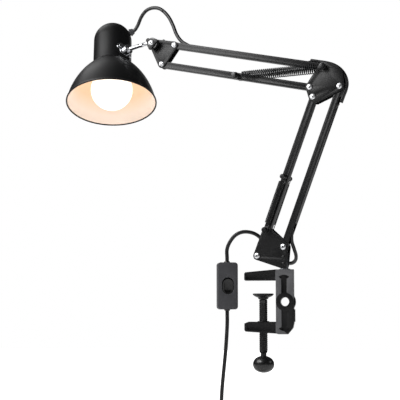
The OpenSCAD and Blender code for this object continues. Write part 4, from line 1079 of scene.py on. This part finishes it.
def make_shade():
    """The bell with its rolled rim, the neck, the ball socket with its rivets, the grommet."""
    (bell, bell_in), (neck, neck_in) = shade_lines()
    rim = (70.3, 0.0)
    bead = arc(rim, 1.2, 190, 420, 12)
    # The bell's edge is turned in by a hair where it meets the neck, which leaves a fine seam.
    # The neck's wall steps down behind that edge, so no light comes through.
    lip = [(bell[-1].x - 0.05, bell[-1].y - 0.35), (bell[-1].x - 0.3, bell[-1].y - 0.05),
           (bell[-1].x - 0.45, bell[-1].y - 0.05), (bell[-1].x - 0.45, bell[-1].y - 1.2)]
    foot = [(neck_in[0].x, bell[-1].y - 1.1), (neck[0].x - 0.47, bell[-1].y - 1.1),
            (neck[0].x - 0.47, neck[0].y + 0.05), (neck[0].x - 0.15, neck[0].y + 0.3)]
    parts = (
        ("spun_bell", "shade", bell, bell_in,
         [tuple(p) for p in reversed(bell_in[1:-1])] + [(69.1, 0.5)] + bead
         + [tuple(p) for p in bell[1:-1]] + lip
         + [(bell_in[-1].x + 0.02, bell[-1].y - 1.2)]),
        ("shade_housing", "shade_neck", neck, neck_in,
         [tuple(p) for p in reversed(neck_in)] + foot + [tuple(p) for p in neck[1:]]),
    )
    for name, node, outer, inner, profile in parts:
        piece = turned(profile, 96)
        for face in piece.data.polygons:
            r, z = math.hypot(face.center.x, face.center.y) / MM, face.center.z / MM
            near_in = min((Vector((r, z)) - p).length for p in inner)
            near_out = min((Vector((r, z)) - p).length for p in outer)
            on_bead = math.hypot(r - rim[0], z - rim[1]) < 1.35
            at_seam = abs(z - SEAM_Z) < 1.3 and r > NECK_R + 0.4
            inside = near_in < near_out and not on_bead and not at_seam
            face.material_index = 1 if inside else 0
        put(piece, SHADE)
        done(piece, name, "shade", shade_paint(), [node], angle=50,
             more=(reflector_paint(),))
    softened("bracket_cup", "ball_socket", bright_plating(), 0.0004, 3, 35)
    softened("bracket_rivets", "socket_rivets", bright_plating(), FINE_EDGE)
    place = (SHADE @ Matrix.Translation((0, 0, GROMMET_Z * MM))
             @ Matrix.Rotation(GROMMET_TURN, 4, "Z") @ Matrix.Rotation(-GROMMET_LIFT, 4, "Y")
             @ Matrix.Translation((NECK_R * MM, 0, 0)) @ Matrix.Rotation(math.radians(90), 4, "Y"))
    grommet = turned([
        (2.9, -4), (5.8, -4), (6.2, -3.6), (6.2, -2.4), (5.6, -2.2), (4.5, -2.2), (4.5, 0.9),
        (5.8, 0.9), (6.2, 1.3), (6.2, 2.2), (5.9, 2.7), (5.2, 4.4), (4.6, 6.6), (4.2, 7.3),
        (3.5, 7.5), (2.9, 7.4), (2.9, -4)], 40, place)
    done(grommet, "rubber_grommet", "shade", moulded_plastic(),
         ["cord_grommet"])


def make_lamp():
    """The lamp holder on its strap, and the lit bulb."""
    softened("holder_bracket", "holder_strap", plain_steel(), FINE_EDGE)
    holder = turned([
        (13.5, 86.6), (14.2, 86), (18.3, 86), (19, 86.7), (19, 93.4), (18.6, 94), (17.8, 94.6),
        (17.8, 96), (17.2, 96.6), (17.8, 97.2), (17.8, 99), (17.2, 99.6), (17.8, 100.2),
        (17.8, 107.6), (17.2, 108.8), (14.4, 117.4), (13.4, 118), (5, 118), (5, 119.5),
        (7.6, 119.5), (8, 119.9), (8, 121.6), (7.6, 122), (5, 122), (5, 123.2), (4.7, 123.5),
        (0, 123.5), (0, 113), (13.5, 113), (13.5, 86.6)], 48, SHADE)
    done(holder, "moulded_holder", "shade", holder_plastic(), ["lamp_holder"])
    r, at = 33.0, 23.5
    line = [(0, at - r)] + arc((0, at), r, -88, 50, 32)
    line += [(18.4, 54.6), (16.6, 60.5), (15.3, 68), (14.6, 76), (14, 82), (12.6, 87.4),
             (11.6, 87.4)]
    line += [(12.9, 82), (13.5, 76), (14.2, 68), (15.6, 60.5), (17.4, 54.6)]
    line += arc((0, at), r - 1, 50, -88, 20) + [(0, at - r + 1)]
    bulb = turned(line, 64, SHADE)
    done(bulb, "opal_bulb", "shade", opal_glass(), ["bulb_glass"], angle=60)
    cap_line = [(11.2, 87.5), (13, 87.5), (13, 89), (12.2, 90)]
    for i in range(5):
        z = 91 + 3 * i
        cap_line += [(12.2, z), (12.9, z + 0.9), (12.9, z + 1.5), (12.2, z + 2.4)]
    cap_line += [(12.2, 105), (10, 108), (5, 110), (4.2, 112), (0, 112), (0, 106),
                 (9.2, 106), (11.2, 104), (11.2, 87.5)]
    cap = turned(cap_line, 40, SHADE)
    done(cap, "threaded_cap", "shade", bright_plating(), ["bulb_cap"])


def rounded_slab(w, h, t, corner):
    """A slab in x and z with rounded upright corners: a cube, its corners bevelled."""
    bpy.ops.object.select_all(action="DESELECT")
    bpy.ops.mesh.primitive_cube_add(size=1, scale=(w * MM, t * MM, h * MM))
    piece = bpy.context.object
    bpy.ops.object.transform_apply(location=True, rotation=True, scale=True)
    open_mesh(piece, "EDGE")
    pick_edges(piece, lambda a, b: abs(a.y - b.y) > 0.5 * t * MM)
    bpy.ops.mesh.bevel(offset=corner * MM, segments=8, profile=0.5, affect="EDGES")
    bpy.ops.object.mode_set(mode="OBJECT")
    return piece


def make_switch():
    """The in-line switch: two moulded halves, a framed opening and a dished rocker."""
    # The halves meet at the split, with half of a fine gap on each side
    w, h, t, corner, split, gap = 30.0, 70.0, 17.0, 4.5, 2.0, 0.15
    back = rounded_slab(w, h, t / 2 - split - gap, corner)
    put(back, Matrix.Translation((0, (t / 2 + split + gap) / 2 * MM, 0)))
    rounded(back, 0.0012, 3, 50)
    put(back, SWITCH)
    done(back, "switch_back_half", "base", moulded_plastic(), ["switch_base"])

    cover = rounded_slab(w, h, t / 2 + split - gap, corner)
    put(cover, Matrix.Translation((0, (split - gap - t / 2) / 2 * MM, 0)))
    cutter = oval_block(ROCKER_R + 0.8, 20.0)
    put(cutter, Matrix.Translation((0, (1.3 - 10) * MM, 0)))
    alone(cover)
    hole = cover.modifiers.new("Opening", "BOOLEAN")
    hole.object = cutter
    hole.operation = "DIFFERENCE"
    hole.solver = "EXACT"
    bpy.ops.object.modifier_apply(modifier=hole.name)
    bpy.data.objects.remove(cutter)
    rounded(cover, 0.0011, 3, 50)
    put(cover, SWITCH)
    done(cover, "switch_front_half", "base", moulded_plastic(),
         ["switch_cover"])

    rocker = oval_block(ROCKER_R, 7.0)
    open_mesh(rocker)
    pick_faces(rocker, lambda c, n: n.y < -0.9)
    bpy.ops.mesh.inset(thickness=0.0012, depth=0.0)
    bpy.ops.mesh.inset(thickness=0.002, depth=-0.0009)
    bpy.ops.mesh.inset(thickness=0.0018, depth=-0.0005)
    bpy.ops.object.mode_set(mode="OBJECT")
    rounded(rocker, 0.0004, 2, 40)
    put(rocker, SWITCH @ Matrix.Translation((0, -4.5 * MM, 0))
        @ Matrix.Rotation(math.radians(9), 4, "X"))
    done(rocker, "switch_rocker_key", "rocker", glossy_plastic(),
         ["switch_rocker"])
    softened("switch_collars", "switch_end_rings", glossy_plastic(), 0.0003)


def oval_block(r, deep):
    """An upright oval prism along y: a filled circle, pulled apart and extruded."""
    bpy.ops.object.select_all(action="DESELECT")
    bpy.ops.mesh.primitive_circle_add(vertices=64, radius=r * MM, fill_type="NGON")
    piece = bpy.context.object
    for v in piece.data.vertices:
        v.co = Vector((v.co.x, deep / 2 * MM, v.co.y + math.copysign(ROCKER_RISE * MM, v.co.y)))
    open_mesh(piece)
    bpy.ops.mesh.extrude_region_move(
        TRANSFORM_OT_translate={"value": (0, -deep * MM, 0)})
    clean()
    return piece


def make_plug():
    """The plug with its ribbed relief and blades, and the tie round the coil."""
    softened("plug", "moulded_plug", glossy_plastic(), 0.0012, 3, 30)
    softened("plug_blades", "brass_blades", blade_brass(), 0.0004)
    softened("coil_tie", "coil_strap", moulded_plastic(), 0.0004)


# STAGE


def make_stage():
    """Camera, lamps, floor and white surroundings."""
    scene = bpy.context.scene
    camera = bpy.data.cameras.new("camera")
    # The camera that the photograph was fitted with: focal length and width in pixels
    focal_px, width_px = 1082, 400
    camera.sensor_width = 36
    camera.lens = focal_px / width_px * camera.sensor_width
    camera.clip_start, camera.clip_end = 0.05, 50
    seen_by = bpy.data.objects.new("camera", camera)
    seen_by.location = (0.1303, -1.5893, -0.0481)
    seen_by.rotation_euler = (math.radians(90 + 5.99), 0, math.radians(8.02))
    scene.collection.objects.link(seen_by)
    scene.camera = seen_by
    scene.view_settings.view_transform = "Standard"

    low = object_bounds()[0].z
    bpy.ops.object.select_all(action="DESELECT")
    bpy.ops.mesh.primitive_plane_add(size=12, location=(0, 0, low - 0.002))
    floor = bpy.context.object
    floor.name = "studio_floor"
    made, tree, out = new_material("Matt studio floor")
    if tree:
        diffuse = add(tree, "ShaderNodeBsdfDiffuse", {"Color": colours().floor, "Roughness": 0.6})
        # To the camera the floor brightens with distance until it meets the white backdrop
        where = add(tree, "ShaderNodeTexCoord")
        far = add(tree, "ShaderNodeVectorMath", {"operation": "LENGTH"},
                  {0: where.outputs["Object"]})
        lift = ramp(tree, far.outputs["Value"], 0.5, 2.5, 0.35, 1.0)
        white = add(tree, "ShaderNodeEmission", {"Color": (1, 1, 1, 1)}, {"Strength": lift})
        ray = add(tree, "ShaderNodeLightPath")
        both = add(tree, "ShaderNodeAddShader", None, {0: diffuse.outputs[0], 1: white.outputs[0]})
        mix = add(tree, "ShaderNodeMixShader", None,
                  {0: ray.outputs["Is Camera Ray"], 1: diffuse.outputs[0], 2: both.outputs[0]})
        tree.links.new(mix.outputs[0], out.inputs["Surface"])
    floor.data.materials.append(made)
    floor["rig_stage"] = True

    world = bpy.data.worlds.new("studio")
    scene.world = world
    world.use_nodes = True
    tree = world.node_tree
    tree.nodes.clear()
    where = add(tree, "ShaderNodeTexCoord")
    apart = add(tree, "ShaderNodeSeparateXYZ", None, {"Vector": where.outputs["Generated"]})
    # Gloss sees the white backdrop behind the lamp, a pale ceiling on the left, and a dim room
    # elsewhere; the rest of the light from round about is a plain fill
    behind = ramp(tree, apart.outputs["Y"], 0.84, 0.97, 0.03, 1.0)
    above = ramp(tree, apart.outputs["Z"], 0.6, 0.88, 0.03, 0.6)
    left = ramp(tree, apart.outputs["X"], 0.0, -0.22, 0.03, 0.6)
    ceiling = add(tree, "ShaderNodeMath", {"operation": "MINIMUM"}, {0: above, 1: left})
    room = add(tree, "ShaderNodeMath", {"operation": "MAXIMUM"},
               {0: behind, 1: ceiling.outputs[0]})
    white = {"Color": (1, 1, 1, 1)}
    fill = add(tree, "ShaderNodeBackground", {**white, "Strength": 0.6})
    seen = add(tree, "ShaderNodeBackground", white, {"Strength": room.outputs[0]})
    plain = add(tree, "ShaderNodeBackground", {**white, "Strength": 1.0})
    ray = add(tree, "ShaderNodeLightPath")
    sharp = add(tree, "ShaderNodeMath", {"operation": "MAXIMUM"},
                {0: ray.outputs["Is Glossy Ray"], 1: ray.outputs["Is Transmission Ray"]})
    around = add(tree, "ShaderNodeMixShader", None,
                 {0: sharp.outputs[0], 1: fill.outputs[0], 2: seen.outputs[0]})
    mix = add(tree, "ShaderNodeMixShader", None,
              {0: ray.outputs["Is Camera Ray"], 1: around.outputs[0], 2: plain.outputs[0]})
    out = add(tree, "ShaderNodeOutputWorld", None, {"Surface": mix.outputs[0]})

    # Each lamp has its place, its aim, its width and height in metres, and its power in watts
    for name, place, aim, wide, high, power in (
        ("key", (-0.72, -0.38, 0.64), (-0.2, 0, 0.4), 0.85, 0.6, 7.5),
        ("front", (-0.72, -0.75, 0.9), (-0.2, 0, 0.35), 0.4, 0.4, 3),
        ("top", (-0.9, 0.5, 1.3), (-0.1, 0, 0.3), 0.6, 0.6, 2),
        ("edge", (1.3, 0.1, 0.6), (0, 0, 0.15), 0.25, 0.25, 1),
    ):
        light = bpy.data.lights.new(name, "AREA")
        light.shape = "RECTANGLE"
        light.size, light.size_y = wide, high
        light.energy = power
        lamp = bpy.data.objects.new(name, light)
        lamp.location = place
        lamp.visible_camera = False
        lamp.rotation_euler = (Vector(aim) - Vector(place)).to_track_quat("-Z", "Y").to_euler()
        scene.collection.objects.link(lamp)


# OPERATORS


class BuildStage(bpy.types.Operator):
    """Sets up the camera, the lamps, the floor and the white surroundings"""

    bl_idname = "desk_lamp.stage"
    bl_label = "Stage"
    bl_options = {"REGISTER", "UNDO"}

    def execute(self, context):
        make_stage()
        return {"FINISHED"}


class BuildSwitch(bpy.types.Operator):
    """Makes the in-line switch: two halves, a rocker and two end rings"""

    bl_idname = "desk_lamp.switch"
    bl_label = "Switch"
    bl_options = {"REGISTER", "UNDO"}

    def execute(self, context):
        make_switch()
        return {"FINISHED"}


class BuildPlug(bpy.types.Operator):
    """Makes the plug, its blades and the tie round the coil"""

    bl_idname = "desk_lamp.plug"
    bl_label = "Plug and tie"
    bl_options = {"REGISTER", "UNDO"}

    def execute(self, context):
        make_plug()
        return {"FINISHED"}


class BuildCords(bpy.types.Operator):
    """Lays the head's loop, the sleeve at the elbow, and the lead with its coil"""

    bl_idname = "desk_lamp.cords"
    bl_label = "Cords"
    bl_options = {"REGISTER", "UNDO"}

    def execute(self, context):
        missing = [n for n in ON_THE_LEAD if n not in bpy.data.objects]
        if missing:
            raise RuntimeError("make the switch and the plug first: " + ", ".join(missing))
        make_cords()
        inner_cords()
        return {"FINISHED"}


class BuildClamp(bpy.types.Operator):
    """Makes the clamp's casting, its screw with a thread, the knob and the pad"""

    bl_idname = "desk_lamp.clamp"
    bl_label = "Clamp"
    bl_options = {"REGISTER", "UNDO"}

    def execute(self, context):
        make_clamp()
        return {"FINISHED"}


class BuildBase(bpy.types.Operator):
    """Makes the post and the bracket that carries the lower arm"""

    bl_idname = "desk_lamp.base"
    bl_label = "Base bracket"
    bl_options = {"REGISTER", "UNDO"}

    def execute(self, context):
        make_base()
        return {"FINISHED"}


class BuildArms(bpy.types.Operator):
    """Makes the four square bars and their spring pins"""

    bl_idname = "desk_lamp.arms"
    bl_label = "Arms"
    bl_options = {"REGISTER", "UNDO"}

    def execute(self, context):
        make_arms()
        return {"FINISHED"}


class BuildElbow(bpy.types.Operator):
    """Makes the elbow's plates, screws and pin"""

    bl_idname = "desk_lamp.elbow"
    bl_label = "Elbow"
    bl_options = {"REGISTER", "UNDO"}

    def execute(self, context):
        make_elbow()
        return {"FINISHED"}


class BuildSprings(bpy.types.Operator):
    """Winds the two pairs of springs, hook to hook"""

    bl_idname = "desk_lamp.springs"
    bl_label = "Springs"
    bl_options = {"REGISTER", "UNDO"}

    def execute(self, context):
        make_springs()
        return {"FINISHED"}


class BuildHead(bpy.types.Operator):
    """Makes the head's plates, the tilt joint and the rod with its ball"""

    bl_idname = "desk_lamp.head"
    bl_label = "Head"
    bl_options = {"REGISTER", "UNDO"}

    def execute(self, context):
        make_head()
        return {"FINISHED"}


class BuildShade(bpy.types.Operator):
    """Spins the shade and fits its socket, rivets and grommet"""

    bl_idname = "desk_lamp.shade"
    bl_label = "Shade"
    bl_options = {"REGISTER", "UNDO"}

    def execute(self, context):
        make_shade()
        return {"FINISHED"}


class BuildLamp(bpy.types.Operator):
    """Makes the lamp holder, its strap and the lit bulb"""

    bl_idname = "desk_lamp.lamp"
    bl_label = "Holder and bulb"
    bl_options = {"REGISTER", "UNDO"}

    def execute(self, context):
        make_lamp()
        return {"FINISHED"}


OPERATORS = (BuildStage, BuildSwitch, BuildPlug, BuildCords, BuildClamp, BuildBase, BuildArms,
             BuildElbow, BuildSprings, BuildHead, BuildShade, BuildLamp)


class LampPanel(bpy.types.Panel):
    """Lists the lamp's pieces, sizes and colours"""

    bl_idname = "DESK_LAMP_PT_panel"
    bl_label = "Desk Lamp"
    bl_space_type = "VIEW_3D"
    bl_region_type = "UI"
    bl_category = "Desk Lamp"

    def draw(self, context):
        for one in OPERATORS:
            self.layout.operator(one.bl_idname, text=one.bl_label)
        for group in (context.scene.desk_lamp_sizes, context.scene.desk_lamp_colours):
            column = self.layout.column(align=True)
            for key in group.__annotations__:
                column.prop(group, key)


CLASSES = (LampSizes, LampColours, *OPERATORS, LampPanel)


def register():
    for one in CLASSES:
        bpy.utils.register_class(one)
    bpy.types.Scene.desk_lamp_sizes = bpy.props.PointerProperty(type=LampSizes)
    bpy.types.Scene.desk_lamp_colours = bpy.props.PointerProperty(type=LampColours)


def unregister():
    del bpy.types.Scene.desk_lamp_sizes
    del bpy.types.Scene.desk_lamp_colours
    for one in reversed(CLASSES):
        bpy.utils.unregister_class(one)


def main():
    register()
    bpy.ops.desk_lamp.stage()
    bpy.ops.desk_lamp.switch()
    bpy.ops.desk_lamp.plug()
    bpy.ops.desk_lamp.cords()
    bpy.ops.desk_lamp.clamp()
    bpy.ops.desk_lamp.base()
    bpy.ops.desk_lamp.arms()
    bpy.ops.desk_lamp.elbow()
    bpy.ops.desk_lamp.springs()
    bpy.ops.desk_lamp.head()
    bpy.ops.desk_lamp.shade()
    bpy.ops.desk_lamp.lamp()


if __name__ == "__main__":
    main()
